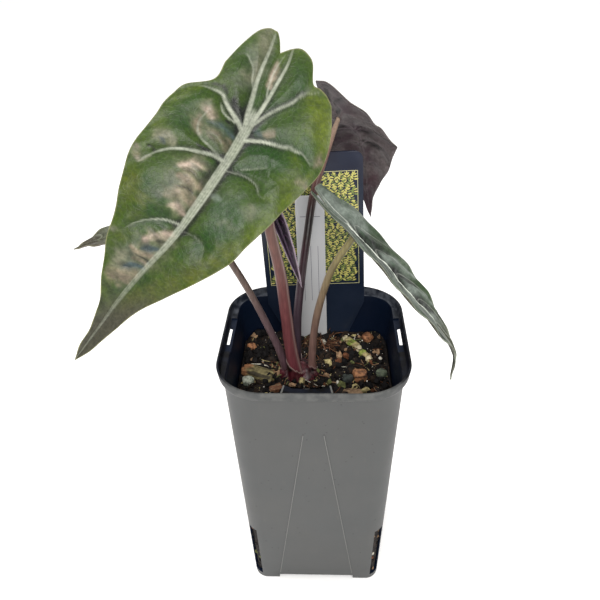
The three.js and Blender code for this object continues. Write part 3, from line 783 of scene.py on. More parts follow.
@dataclass
class Blade:
    """A leaf blade laid out about its midrib.

    t runs from -1 at the left margin to 1 at the right, and r from 0 at the back edge to 1 at
    the tip. Half widths are given at even steps from where the margin starts to the tip, and
    the lobes say how far the back edge lies along the midrib, from the notch to the margin.
    The rib's half widths and its shift to the side are given at even steps along the midrib.
    """

    name: str
    slot: str
    midrib: tuple[Point, ...]
    facing: Point
    left_half: tuple[float, ...]
    right_half: tuple[float, ...]
    left_lobe: tuple[float, ...]
    right_lobe: tuple[float, ...]
    fold: float
    droop: float
    wave: float
    waves: int
    puff: float
    veins: tuple[Vein, ...]
    joint: float
    rib: tuple[float, ...]
    upper: LeafSkin
    lower: LeafSkin
    bands: tuple[Stroke, ...] = ()
    under_bands: tuple[Stroke, ...] = ()
    spine: tuple[float, ...] = (0, 0)
    pucker: float = 0.0
    edge: float = 0.42
    shine: float = 1.0
    thickness: float = 0.5
    keel: float = 1.2
    sweep: float = 0.1
    columns: int = 141
    rows: int = 211

    def frame(self, t: Array, r: Array) -> dict[str, Array]:
        """Place and directions of points of the flat blade.

        Rows bend forward to the margins: row = r + 4 sweep r (1 - r) |t|^2.4. The midrib is
        followed from the back edge to the tip, and the point lies t half widths to the side,
        where the half width is read at the point's share of the way from margin's start to tip.

        Args:
            t: places from margin to margin.
            r: places from back edge to tip.

        Returns:
            Midrib point, normal, side, distance across (q), half width, length along (v) and x.
        """
        reach = np.abs(t)
        row = r + 4 * self.sweep * r * (1 - r) * reach**2.4
        on_left = t < 0
        back = np.where(on_left, sample(self.left_lobe, reach), sample(self.right_lobe, reach))
        x = np.clip(back + (1 - back) * row, 0.002, 0.998)
        start = np.where(on_left, self.left_lobe[-1], self.right_lobe[-1])
        place = (x - start) / (1 - start)
        half = np.where(on_left, sample(self.left_half, place), sample(self.right_half, place))
        along = direction(self.midrib, x)
        facing = unit(np.array(self.facing))
        normal = unit(facing - along * (along @ facing)[..., None])
        length = np.linalg.norm(np.diff(np.array(self.midrib), axis=0), axis=1).sum()
        return {
            "centre": sample(self.midrib, x),
            "normal": normal,
            "side": np.cross(normal, along),
            "q": t * half,
            "half": half,
            "v": x * length,
            "x": x,
        }

    def gaps(self, points: tuple, q: Array, v: Array) -> tuple[Array, Array]:
        """Distance of each place to a smooth line over the flattened blade.

        The line is a chain of short straight pieces, and the distance to a piece is that to its
        nearest point.

        Args:
            points: (t, r) of the line.
            q: places across the flattened blade.
            v: places along it.

        Returns:
            The distance, and the share of the line where it is nearest.
        """
        line = sample(points, np.linspace(0, 1, 24))
        flat = self.frame(line[:, 0], line[:, 1])
        ends = np.stack([flat["q"], flat["v"]], axis=1)
        start, step = ends[:-1], np.diff(ends, axis=0)
        dq, dv = q[..., None] - start[:, 0], v[..., None] - start[:, 1]
        size = np.maximum((step**2).sum(axis=1), 1e-9)
        f = np.clip((dq * step[:, 0] + dv * step[:, 1]) / size, 0, 1)
        every = np.hypot(dq - f * step[:, 0], dv - f * step[:, 1])
        index = every.argmin(axis=-1)[..., None]
        gap = np.take_along_axis(every, index, -1)[..., 0]
        return gap, (index[..., 0] + np.take_along_axis(f, index, -1)[..., 0]) / len(step)

    def vein_field(self, q: Array, v: Array) -> dict[str, Array]:
        """Brightness of the nearest vein, depth of its groove, distance to it, and the painted shade beside it.

        Args:
            q: places across the flattened blade.
            v: places along it.

        Returns:
            The four fields by name.
        """
        field_of = {name: np.zeros(q.shape) for name in ("bright", "groove", "dark")}
        nearest = np.full(q.shape, 99)
        for vein in self.veins:
            gap, share = self.gaps(vein.points, q, v)
            width = vein.base + (vein.tip - vein.base) * share
            fade = 1 - 0.7 * ease(0.6, 1, share)
            shine = vein.bright * fade * (1 - ease(0.5, 1.4, gap / width))
            depth = vein.sink * (1 - 0.7 * share) * np.exp(-((gap / (1.6 * width + 1.2)) ** 2))
            # Painted shade along the edges of the vein's groove, as deep as it sinks.
            beside = vein.sink * (1 - 0.85 * share) * np.exp(-(((gap - width) / (0.7 + width)) ** 2))
            for name, value in (("bright", shine), ("groove", depth), ("dark", beside)):
                field_of[name] = np.maximum(field_of[name], value)
            nearest = np.minimum(nearest, gap + 2 * ease(0.8, 1, share))
        return {**field_of, "nearest": nearest}

    def rib_field(self, q: Array, x: Array) -> dict[str, Array]:
        """Distance to the midrib's centre line, its own profile, and the painted shade in the gutters beside it.

        Args:
            q: places across the flattened blade.
            x: places along the midrib.

        Returns:
            The fields by name.
        """
        off, half = q - sample(self.spine, x), np.maximum(sample(self.rib, x), 0.05)
        behind = ease(self.joint - 0.012, self.joint + 0.012, x)
        body = (1 - ease(0.75, 1.15, np.abs(off) / half)) * behind
        # Painted shade in the gutters beside the midrib, stronger on its right.
        gutter_shade = np.where(off > 0, 0.85, 0.6) * np.exp(-(((np.abs(off) - half - 0.5) / 1.1) ** 2))
        gutter_shade = gutter_shade * behind * (1 - ease(0.5, 0.72, x))
        return {"off": off, "half": half, "body": body, "gutter_shade": gutter_shade, "behind": behind}

    def band_field(self, bands: tuple[Stroke, ...], q: Array, v: Array) -> list[tuple[Stroke, Array]]:
        """Each band with its share at each place, which falls off smoothly past its half width.

        Args:
            bands: the bands.
            q: places across the flattened blade.
            v: places along it.

        Returns:
            Each band with its share.
        """
        made = []
        ragged = 1 + 0.3 * noise(on_plane(q, v), 2, 81)
        for band in bands:
            gap, share = self.gaps(band.points, q, v)
            width = 1.25 * band.half * (0.6 + 0.4 * np.sqrt(np.clip(4 * share * (1 - share), 0, 1)))
            made.append((band, np.exp(-((gap * ragged / width) ** 2))))
        return made

    def relief(self, t: Array, r: Array, flat: dict[str, Array]) -> dict[str, Array]:
        """Height over the flat blade, the looks that follow it, and the colour of both faces, the upper one with
        painted light and shade along the ripples beside the midrib.

        Args:
            t: places from margin to margin.
            r: places from back edge to tip.
            flat: what frame() gives for them.

        Returns:
            The fields by name.
        """
        q, v, x = flat["q"], flat["v"], flat["x"]
        spot, reach = on_plane(q, v), np.abs(t)
        veins, rib = self.vein_field(q, v), self.rib_field(q, x)
        across, along = (0.8 * noise(spot, 6, seed) + 0.3 * noise(spot, 1.8, seed + 1) for seed in (41, 44))
        bands, under = (self.band_field(part, q + across, v + along) for part in (self.bands, self.under_bands))
        to_rib = np.abs(rib["off"]) + 30 * (1 - rib["behind"])
        margin = np.minimum((1 - reach) * flat["half"], (v - v[:1]) + 0.02)
        puff = (1 - np.exp(-((np.minimum(veins["nearest"], to_rib) / 4.2) ** 1.5))) * ease(0, 9, margin)
        inside = ease(0.3, 4, margin)
        height = self.puff * puff * (1 - r) ** 0.25
        height = height - (0.42 * veins["groove"] + 0.35 * np.exp(-((to_rib / 2.6) ** 2))) * inside
        height = height + 0.35 * rib["body"] * np.sqrt(np.clip(1 - (rib["off"] / rib["half"] / 1.1) ** 2, 0, 1))
        height = height + (0.14 * noise(spot, 4.5, 3) + 0.07 * noise(spot, 1.7, 5)) * puff
        height = height + sum(band.rise * share for band, share in bands + under)
        crinkle = np.sin(2 * np.pi * (v / 5.3 + 0.8 * noise(spot, 9, 9)))
        crinkle = crinkle * np.exp(-(((to_rib - 5.5) / 3.8) ** 2)) * (t < 0) * ease(0.3, 3, veins["nearest"])
        wave = self.wave * np.sin(2 * np.pi * self.waves * r + np.sign(t)) * reach**3
        height = height + self.pucker * crinkle + wave * np.sqrt(np.clip(np.sin(np.pi * r), 0, 1))
        height = height + np.abs(q) * math.sin(math.radians(self.fold)) - self.droop * q * q
        stripes = 0.5 + 0.5 * np.sin(rib["off"] * 7.5 + 0.8 * noise(spot, 9, 2))
        looks = {
            "vein": np.maximum(
                veins["bright"] * (0.8 + 0.25 * noise(spot, 2.2, 61)),
                rib["body"] * self.shine * (0.62 + 0.3 * stripes) * (1 - 0.65 * ease(0.5, 0.85, x)),
            ),
            "margin": 0.85 * (1 - ease(0.3 * self.edge, self.edge, margin)),
            "rim": 0.5 * (1 - ease(1, 9, margin)),
            "tip": ease(0.7, 0.87, x + 0.05 * t) * 0.92,
            # Painted shade beside the veins and the midrib.
            "gutter_shade": np.clip(0.9 * veins["dark"] + rib["gutter_shade"], 0, 0.92),
        }
        dull = {**looks, "gutter_shade": 0 * q, "vein": 0.7 * looks["vein"]}
        # Painted light and shade: the upper face is lighter and darker along the ripples beside the midrib.
        ripple_light_and_shade = (1 + 2 * self.pucker * crinkle)[..., None]
        return {
            "height": height,
            "ridge": 0.35 * veins["groove"] + 0.42 * rib["body"],
            "vein": looks["vein"],
            "margin": looks["margin"],
            "upper": ripple_light_and_shade * self.upper.shade(looks, spot, bands),
            "lower": self.lower.shade(dull, spot, under),
        }

    def shape(self) -> Surface:
        """Closed blade: upper and lower grids, joined round their shared outline.

        Returns:
            The closed blade.
        """
        even = np.linspace(-1, 1, self.columns)
        t, r = np.meshgrid(np.sign(even) * np.abs(even) ** 1.12, np.linspace(0, 1, self.rows))
        flat = self.frame(t, r)
        relief = self.relief(t, r, flat)
        top = flat["centre"] + flat["side"] * (flat["q"] * math.cos(math.radians(self.fold)))[..., None]
        top = top + flat["normal"] * relief["height"][..., None]
        keel = self.keel * (1 - flat["x"]) * np.exp(-((flat["q"] / 1.5) ** 2))
        keel = keel * ease(self.joint - 0.03, self.joint, r)
        depth = (self.thickness + keel + relief["ridge"]) * (0.45 + 0.55 * (1 - relief["margin"]))
        bottom = top - flat["normal"] * depth[..., None]
        rows, columns, count = *t.shape, t.size
        faces = grid_faces(rows, columns)
        ring = np.concatenate([
            np.arange(columns),
            np.arange(1, rows) * columns + columns - 1,
            (rows - 1) * columns + np.arange(columns - 2, -1, -1),
            np.arange(rows - 2, 0, -1) * columns,
        ])
        after = np.roll(ring, -1)
        wall = np.stack([after, ring, ring + count, after + count], axis=1)
        slots = np.repeat([0, 1, 0], [len(faces), len(faces), len(wall)])
        points, shades = (
            np.concatenate([part.reshape(-1, 3) for part in parts])
            for parts in ((top, bottom), (relief["upper"], relief["lower"]))
        )
        looks = {"shade": shades, "vein": np.tile(relief["vein"].ravel(), 2)}
        return Surface(points, np.concatenate([faces, faces[:, ::-1] + count, wall]), looks, slots)

    def build(self, frame: PotFrame) -> None:
        """Makes the blade in place of its solid."""
        finishes, node = [self.upper.build(), self.lower.build()], (f"blade_{self.name}",)
        frame.piece(f"leaf_{self.name}", merged(self.shape()), finishes, self.slot, node)


def merged(surface: Surface) -> Surface:
    """The surface with points at one place made one.

    A quad with two corners at one place becomes a triangle, rolled round so that the doubled
    corner comes last. A face with fewer than three places is left out.

    Args:
        surface: the surface.

    Returns:
        The merged surface.
    """
    keys = np.round(surface.points, 4)
    _, first, index = np.unique(keys, axis=0, return_index=True, return_inverse=True)
    faces = index.ravel()[surface.faces]
    same = faces == np.roll(faces, -1, axis=1)
    doubled = same.sum(axis=1)
    roll = np.where(doubled == 1, same.argmax(axis=1) - 2, 0)
    faces = np.take_along_axis(faces, (roll[:, None] + np.arange(4)) % 4, axis=1)
    looks = {name: values[first] for name, values in surface.looks.items()}
    return Surface(surface.points[first], faces[doubled <= 1], looks, surface.slots[doubled <= 1])


def side_veins(
    stations: tuple[float, ...], base: float = 0.6, sink: float = 1.0, bright: float = 1.0, lean: float = 0.0
) -> tuple[Vein, ...]:
    """A pair of veins at each station, out from the midrib and forward by the lean.

    Args:
        stations: places along the midrib.
        base: half width of a vein at the notch.
        sink: how far it sinks.
        bright: how bright it is.
        lean: how far it leans forward.

    Returns:
        The veins.
    """
    steps = ((0.02, 0), (0.35, -0.012), (0.68, 0), (0.95, 0.03))
    return tuple(
        Vein(
            tuple((t * side, r + step + lean * t) for t, step in steps), base * (1.1 - 0.5 * r), 0.2, sink, bright
        )
        for r in stations for side in (-1, 1)
    )


# Stems and crown


@dataclass
class Stem:
    """A leaf stem: a round tube along a smooth path, with a pale line that is a painted highlight.

    Its solid is the node of its own name, or another's where the two are fused.
    """

    name: str
    slot: str
    path: tuple[Point, ...]
    radii: tuple[float, ...]
    finish: StemFinish
    node: str | None = None

    def shape(self) -> Surface:
        """Tube with a shallow groove along it and a slight unevenness.

        Returns:
            The closed tube.
        """
        surface = tube(self.path, self.radii, 90, 28)
        spot, x, around = surface.points, surface.looks["along"], surface.looks["around"] * 2 * np.pi
        centre = sample(self.path, x)
        swell = 1 + 0.03 * noise(spot, 7, 4)
        groove = 1 - 0.07 * np.exp(-((np.sin((around - 4.4) / 2) / 0.22) ** 2))
        surface.points = centre + (spot - centre) * (swell * groove)[:, None]
        surface.looks["shade"] = self.finish.shade(x, around, spot)
        return surface

    def build(self, frame: PotFrame) -> None:
        """Makes the stem in place of its solid."""
        nodes = (self.node or f"stem_{self.name}",)
        frame.piece(f"petiole_{self.name}", self.shape(), [self.finish.build()], self.slot, nodes)


@dataclass
class Crown:
    """Clasping base: a pleated swelling, and a thin torn sheath about each stem."""

    stems: tuple[Stem, ...]
    centre: Point = (-7.6, -0.4, 109.5)
    radii: Point = (10.5, 8.8, 9.6)
    sheath_tops: tuple[float, ...] = (0.125, 0.1, 0.13, 0.09)
    sheath_walls: tuple[float, ...] = (1.7, 1.4, 1.3, 1.4)
    torn_towards: tuple[float, ...] = (3.5, 1, 4.6, 2.4)
    rim: float = 0.22
    pleats: int = 9

    def swelling(self) -> Surface:
        """Ball scaled to its radii; pleats and noise push it in and out by a few hundredths.

        Returns:
            The swelling.
        """
        surface = ball(50, 90)
        points = surface.points
        turn = np.arctan2(points[:, 1], points[:, 0])
        pleat = 0.05 * np.cos(self.pleats * turn + 3 * points[:, 2]) * (1 - np.abs(points[:, 2]))
        lumps = 0.07 * rough(points, 0.4, 3, 7)
        surface.points = np.array(self.centre) + points * np.array(self.radii) * (1 + pleat + lumps)[:, None]
        surface.looks = {"edge": 0.15 * ease(0.6, 1, np.abs(noise(points, 0.12, 2)))}
        return surface

    def sheath(self, number: int) -> Surface:
        """Thin wrap about a stem, open at the top along a slanted and ragged edge.

        The outer wall thins from the foot up, and the inner wall lies against the stem. Rows
        climb outside and come down inside. The edge's height falls off on one side of the stem.

        Args:
            number: number of its stem.

        Returns:
            The closed wrap.
        """
        stem, columns, climb = self.stems[number], 72, 34
        angle = np.linspace(0, 2 * np.pi, columns, endpoint=False)
        torn = 0.5 + 0.5 * np.cos(angle - self.torn_towards[number])
        ragged = noise(on_plane(np.cos(angle), np.sin(angle)), 0.22, number)
        top = self.sheath_tops[number] * (1 - 0.55 * torn + 0.07 * ragged)
        rise = np.linspace(0, 1, climb)
        share = np.concatenate([rise, rise[::-1]])[:, None]
        x = 0.005 + share * (top[None] - 0.005)
        outside = np.concatenate([np.ones(climb), np.zeros(climb)])[:, None]
        wall = self.rim + self.sheath_walls[number] * (1 - share) ** 1.3
        flare = 0.5 * ease(0.75, 1, share) * torn[None]
        thick = np.where(outside > 0, wall + flare, 0.03 + flare)
        radius = sample(stem.radii, x) + thick
        across, up = axes(stem.path, x)
        spin = np.broadcast_to(angle, x.shape)[..., None]
        points = sample(stem.path, x) + radius[..., None] * (across * np.cos(spin) + up * np.sin(spin))
        edge = np.broadcast_to(ease(0.9, 0.985, share), x.shape)
        faces = grid_faces(2 * climb, columns, loop=True, ring=True)
        return Surface(points.reshape(-1, 3), faces, {"edge": edge.ravel()})

    def skin(self) -> Material:
        """Dark purple-red with fine stripes upward, whose pink is in part a painted highlight, and pale dry
        edges.

        Returns:
            The material.
        """
        paint = Paint("crown_skin", 0.42, 0.4)
        cloud = paint.ramp(paint.mottle(260, 4), 0.3, 0.7)
        colour = paint.mix(cloud, tint((44, 20, 27)), tint((104, 50, 60)))
        stripe = paint.ramp(paint.mottle(1, 3, paint.mapped((900, 900, 80))), 0.45, 0.75)
        # The stripes' pink is in part a painted highlight.
        colour = paint.mix(paint.math("MULTIPLY", stripe, 0.5), colour, tint((158, 100, 102)))
        colour = paint.mix(paint.look("edge"), colour, tint((184, 156, 150)))
        return paint.finish(colour, None, paint.bump(stripe, 0.12, 0.8))

    def roots(self) -> Surface:
        """Short brown root fibres that leave the foot of the crown.

        Returns:
            The fibres.
        """
        random, count = np.random.default_rng(23), 46
        turn = random.uniform(0, 2 * np.pi, count)
        reach = np.stack([9.2 * np.cos(turn), 8 * np.sin(turn), random.uniform(1, 4, count)], axis=1)
        heading = turn + random.normal(0, 0.5, count)
        return fibres(random, np.array(self.centre) + reach, heading, (3.0, 9.0), (0.16, 0.34), 0.5)

    def build(self, frame: PotFrame) -> None:
        """Makes the swelling with its sheaths, and the roots.

        Args:
            frame: where the pot stands.
        """
        body = joined(self.swelling(), *(self.sheath(k) for k in range(len(self.sheath_tops))))
        frame.piece("leaf_bases", body, [self.skin()], "crown_skin", ("crown",), 60)
        roots = self.roots()
        roots.looks = {"shade": np.tile([0.13, 0.065, 0.035], (len(roots.points), 1))}
        frame.piece("crown_roots", roots, [EarthFinish("root_fibre", 0.7, 0.2).build()], "crown_skin")


# Pot


def rounded_square(half: float, corner: float, steps: int = 14, flats: int = 7) -> Array:
    """Outline of a square with round corners: a quarter circle at each corner, straight between.

    Args:
        half: half of its side.
        corner: radius of its corners.
        steps: pieces in a corner.
        flats: points between two corners.

    Returns:
        Points (x, y), counter-clockwise.
    """
    side = np.arange(4)[:, None] * np.pi / 2
    angle = side + np.linspace(0, np.pi / 2, steps + 1)[None]
    reach = (half - corner) * math.sqrt(2)
    x = reach * np.cos(side + np.pi / 4) + corner * np.cos(angle)
    y = reach * np.sin(side + np.pi / 4) + corner * np.sin(angle)
    arcs = np.stack([x, y], axis=-1)
    start, end = arcs[:, -1:], np.roll(arcs, -1, axis=0)[:, :1]
    share = (np.arange(1, flats + 1) / (flats + 1))[None, :, None]
    return np.concatenate([arcs, start + (end - start) * share], axis=1).reshape(-1, 2)


def level(outline: Array, z: float) -> Array:
    """An outline of points (x, y) lifted to a height."""
    return np.column_stack([outline, np.full(len(outline), z)])


def capped(rings: Array, slots: Array) -> Surface:
    """Closed skin over rings of equally many points, with a fan at the first and last ring.

    Args:
        rings: points by ring, each ring counter-clockwise seen from its end.
        slots: material number of the band above each ring but the last.

    Returns:
        The closed skin.
    """
    count, columns = rings.shape[:2]
    points = np.concatenate([rings.reshape(-1, 3), rings[:1].mean(axis=1), rings[-1:].mean(axis=1)])
    numbers = np.repeat([*slots, slots[0], slots[-1]], columns)
    return Surface(points, closed_faces(count, columns), {}, numbers)


def prism(outline: Array, heights: Pair, number: int = 0) -> Surface:
    """Upright block on an outline between two heights, with a material number."""
    return capped(np.stack([level(outline, z) for z in heights]), [number])


def block(x: Pair, y: Pair, z: Pair, number: int = 0) -> Surface:
    """Box between three pairs of planes, with a material number."""
    return prism(np.array([[x[0], y[0]], [x[1], y[0]], [x[1], y[1]], [x[0], y[1]]]), z, number)


def spun(surface: Surface, angle_deg: float, shift: Point = (0, 0, 0)) -> Surface:
    """The surface turned about +Z, then moved."""
    return Surface(surface.points @ turned(angle_deg).T + shift, surface.faces, surface.looks, surface.slots)


def quarter(steps: int) -> list[Pair]:
    """1 - cos and 1 - sin of even angles over a quarter turn."""
    return [(1 - math.cos(a), 1 - math.sin(a)) for a in np.linspace(0, math.pi / 2, steps)]


@dataclass
class Pot:
    """Square moulded pot with a stepped rim, drain slots at its corners and low arches."""

    height: float = 135
    foot_half: float = 32.1
    foot_corner: float = 6.5
    wall_top_half: float = 38.4
    wall_top_corner: float = 13
    wall_top_z: float = 129.8
    wall: float = 1
    ledge_bottom_z: float = 130.7
    ledge_top_z: float = 131.9
    rim_foot_half: float = 41.4
    rim_foot_corner: float = 21.2
    rim_half: float = 42
    rim_corner: float = 21.8
    upstand: float = 1
    floor_z: float = 4
    arch_half: float = 19.2
    arch_height: float = 2.6
    slot_width: float = 5.5
    slot_z: Pair = (3.2, 39)
    rim_slot_x: Pair = (38.7, 40.2)
    rim_slot_y: Pair = (-3.5, 10.4)
    recess_x: float = 36.4
    recess_y: Pair = (-9.5, 17)
    recess_z: float = 131.2
    line_foot: Pair = (18.6, 5)
    line_top: Pair = (4.5, 108)
    line_width: float = 0.42
    line_proud: float = 0.3

    def half(self, z: float) -> float:
        """Half of the outer width at a height."""
        return self.foot_half + (self.wall_top_half - self.foot_half) * z / self.wall_top_z

    def corner(self, z: float) -> float:
        """Radius of the outer corners at a height."""
        return self.foot_corner + (self.wall_top_corner - self.foot_corner) * z / self.wall_top_z

    def inside(self, z: float, spread: float = 0.0) -> Point:
        """Half width and corner radius of the inner face at a height, widened by a spread."""
        return self.half(z) - self.wall + spread, self.corner(z) - self.wall + spread, z

    def profile(self) -> tuple[Array, Array]:
        """Half width, corner radius and height of each ring, up the outside and down the inside.

        Returns:
            The rings, and the finish of the band above each, by the order in build().
        """
        outside, ledge, inner, lip = 0, 1, 2, 4
        foot_edge, lip_edge, ledge_edge = 0.45, 0.3, 0.5
        rings = [
            (self.half(foot_edge * up) - foot_edge * cut, self.corner(foot_edge * up) - foot_edge * cut,
             foot_edge * up, outside)
            for up, cut in quarter(4)
        ]
        rings += [(self.half(z), self.corner(z), z, outside) for z in np.linspace(8, self.wall_top_z - 1.2, 12)]
        half, corner = self.wall_top_half, self.wall_top_corner
        rings += [
            (half + 0.06, corner, self.wall_top_z - 0.3, outside),
            (half + 0.5, corner + 1.2, self.wall_top_z, outside),
            (half + 0.88 * (self.rim_foot_half - half), self.rim_foot_corner - 0.9, self.ledge_bottom_z - 0.25,
             outside),
            (self.rim_foot_half, self.rim_foot_corner, self.ledge_bottom_z + 0.1, lip),
        ]
        insets = [(lip_edge * a, lip_edge * b, lip) for a, b in quarter(5)]
        insets += [
            (self.upstand - lip_edge * b, lip_edge * a, lip if k < 2 else ledge)
            for k, (a, b) in enumerate(quarter(5))
        ]
        rings += [
            (self.rim_half - cut, self.rim_corner - cut, self.height - down, band) for cut, down, band in insets
        ]
        low, corner = self.rim_foot_half - self.upstand, self.rim_foot_corner - self.upstand
        rings += [
            (low + 0.05, corner, self.ledge_top_z + 0.25, ledge),
            (low - 0.2, corner - 0.2, self.ledge_top_z, ledge),
        ]
        rings += [
            (*self.inside(self.ledge_top_z - ledge_edge * a, ledge_edge * b), ledge if k < 2 else inner)
            for k, (a, b) in enumerate(quarter(4))
        ]
        rings += [(*self.inside(z), inner) for z in np.linspace(self.ledge_bottom_z - 3, self.floor_z + 1, 10)]
        table = np.array([*rings, (*self.inside(self.floor_z, -0.7), inner)])
        return table[:, :3], table[:-1, 3].astype(int)

    def shell(self) -> Surface:
        """The closed skin of the pot before its holes are cut."""
        table, bands = self.profile()
        return capped(np.stack([level(rounded_square(half, corner), z) for half, corner, z in table]), bands)

    def cutters(self) -> list[Surface]:
        """Arches between the feet, corner slots, floor holes, and the slots beside the rim.

        Returns:
            Closed surfaces to cut away.
        """
        beyond = 60
        arch, low = (-self.arch_half, self.arch_half), (-beyond, self.arch_height)
        cut = [block(arch, (-beyond, beyond), low), block((-beyond, beyond), arch, low)]
        reach, half = self.foot_half * math.sqrt(2), self.slot_width / 2
        slot = block((reach - 12, reach + 12), (-half, half), self.slot_z, 2)
        cut += [spun(slot, turn) for turn in (45, 135, 225, 315)]
        angle = np.linspace(0, 2 * np.pi, 24, endpoint=False)
        hole = 4 * np.stack([np.cos(angle), np.sin(angle)], axis=1)
        cut += [prism(hole + at, (-1, 9)) for at in ((0, 0), (13, 0), (-13, 0), (0, 13), (0, -13))]
        above = self.ledge_top_z + 1
        through = block(self.rim_slot_x, self.rim_slot_y, (self.height - 15, above), 2)
        dip = block((self.recess_x, self.rim_slot_x[1]), self.recess_y, (self.recess_z, above), 2)
        for cutter, span in ((through, self.rim_slot_y), (dip, self.recess_y)):
            cut += [cutter, spun(cutter, 180, (0, sum(span), 0))]
        return cut

    def additions(self) -> list[Surface]:
        """Two fine raised lines on each wall, pale as a painted highlight, and the plate with two horns that
        holds a label.

        The plate lies inside the front rim, with a pale line along its edge, a painted highlight.

        Returns:
            Closed surfaces to add.
        """
        # The pale finish of the lines and of the plate's edge is a painted highlight.
        half, pale, dark = self.line_width / 2, 3, 1
        proud = -self.line_proud
        section = np.array([[-half, 0.3], [-half * 0.8, proud], [half * 0.8, proud], [half, 0.3]])
        made = []
        for side, turn in itertools.product((-1, 1), (0, 90, 180, 270)):
            rings = [level(section + [side * x, -self.half(z)], z) for x, z in (self.line_foot, self.line_top)]
            made.append(spun(capped(np.stack(rings), [pale]), turn))
        edge = np.array([(8.5, -38), (7.5, -32.6), (3.9, -34.5), (-2.5, -34.9), (-8.9, -34.5), (-12.5, -32.6),
                         (-13.5, -38)])
        inner = edge * [0.93, 1] - [0.16, 0.35]
        made.append(prism(edge[::-1], (130.9, self.ledge_top_z), pale))
        return [*made, prism(inner[::-1], (130.9, self.ledge_top_z + 0.15), dark)]

    def painted_light_ramp(
        self, frame: PotFrame, name: str, near: tuple[Colour, Colour], far: tuple[Colour, Colour], span: Pair
    ) -> Material:
        """Mottled plastic with painted light and shade: it changes from one pair of display colours to another,
        front to back.

        Args:
            frame: where the pot stands.
            name: the material's name.
            near: both colours at the front.
            far: both colours at the back.
            span: where the change begins and ends, in millimetres behind the rim's front.

        Returns:
            The material.
        """
        paint = Paint(name, 0.45, 0.12)
        away = paint.node("ShaderNodeSeparateXYZ", {"Vector": paint.place}).outputs["Y"]
        start, end = (float(frame.metres([0, depth - self.rim_half, 0])[1]) for depth in span)
        # The lighter colour of each pair, laid in patches, is partly wear and partly painted highlight.
        wear_and_highlight = paint.ramp(paint.mottle(260, 4), 0.35, 0.7)
        first, last = (paint.mix(wear_and_highlight, tint(pair[0]), tint(pair[1])) for pair in (near, far))
        colour = paint.mix(paint.ramp(away, start, end), first, last)
        return paint.finish(colour, None, paint.bump(paint.mottle(1800, 2), 0.02, 0.4))

    def build(self, frame: PotFrame) -> None:
        """Makes the pot with its lines added and its holes cut.

        Args:
            frame: where the pot stands.
        """
        outside, inside, line = (f.made() for f in (Finish.POT_OUTSIDE, Finish.POT_INSIDE, Finish.POT_LINE))
        # Painted light and shade: the lip is light at the front and dark at the sides and back; the ledge is dark
        # at the front and lit at the back.
        dark, light = ((28, 32, 44), (60, 63, 74)), ((108, 110, 110), (130, 131, 129))
        near, far = ((28, 32, 43), (56, 59, 69)), ((60, 65, 75), (116, 121, 130))
        ledge = self.painted_light_ramp(frame, "pot_ledge", near, far, (50, 74))
        lip = self.painted_light_ramp(frame, "pot_lip", light, dark, (2, 12))
        finishes = [outside, ledge, inside, line, lip]
        pot = frame.piece("nursery_pot", self.shell(), finishes, "pot_plastic", ("pot",))
        combine(frame, pot, self.additions(), "UNION")
        combine(frame, pot, self.cutters(), "DIFFERENCE")
        pot.data.shade_smooth()
        pot.data.set_sharp_from_angle(angle=math.radians(32))


def combine(frame: PotFrame, body: Piece, parts: list[Surface], operation: str) -> None:
    """Joins closed surfaces to a piece, or cuts them from it, and applies the result.

    Args:
        frame: where the pot stands.
        body: the piece that is changed.
        parts: closed surfaces.
        operation: "UNION" or "DIFFERENCE".
    """
    helpers = bpy.data.collections.new("helpers")
    bpy.context.scene.collection.children.link(helpers)
    for number, part in enumerate(parts):
        name = f"helper_{number}"
        helpers.objects.link(bpy.data.objects.new(name, frame.mesh(name, part, body.data.materials)))
    modifier = body.modifiers.new("combine", "BOOLEAN")
    modifier.operation = operation
    modifier.solver = "EXACT"
    modifier.operand_type = "COLLECTION"
    modifier.collection = helpers
    graph = bpy.context.evaluated_depsgraph_get()
    graph.update()
    result = bpy.data.meshes.new_from_object(body.evaluated_get(graph))
    body.modifiers.clear()
    old, body.data = body.data, result
    bpy.data.meshes.remove(old)
    result.name = body.name
    for helper in list(helpers.objects):
        mesh = helper.data
        bpy.data.objects.remove(helper)
        bpy.data.meshes.remove(mesh)
    bpy.data.collections.remove(helpers)


# Potting mix


def soil_height(x: Array, y: Array) -> Array:
    """Height of the mix: a level, two mounds, and the sum of three sine waves.

    Args:
        x: places to the right.
        y: places away.

    Returns:
        Height at each place.
    """
    height = SOIL_LEVEL + 2.4 * np.exp(-((x + 7) ** 2 + (y + 1) ** 2) / 13**2)
    height = height + 2.6 * np.exp(-((x + 1) ** 2 + (y - 25) ** 2) / 9**2)
    for rise, across, away, shift in ((0.7, 0.31, 0.27, 1.3), (0.5, 0.63, 0.51, 0.4), (0.35, 1.17, 1.31, 2)):
        height = height + rise * np.sin(across * x + shift) * np.cos(away * y)
    return height


def pulled_in(x: Array, y: Array, margin: Array | float) -> tuple[Array, Array]:
    """Places brought inside the pot at the mix's height, a margin from its walls and corners.

    Args:
        x: places to the right.
        y: places away.
        margin: least distance to the pot.

    Returns:
        The new places.
    """
    corner, straight = 10.8, 25.4
    over = np.stack([np.maximum(np.abs(part) - straight, 0) for part in (x, y)])
    share = np.minimum((corner - margin) / np.maximum(np.hypot(*over), 1e-9), 1)
    near = [np.minimum(np.abs(part), straight) for part in (x, y)]
    return np.sign(x) * (near[0] + over[0] * share), np.sign(y) * (near[1] + over[1] * share)


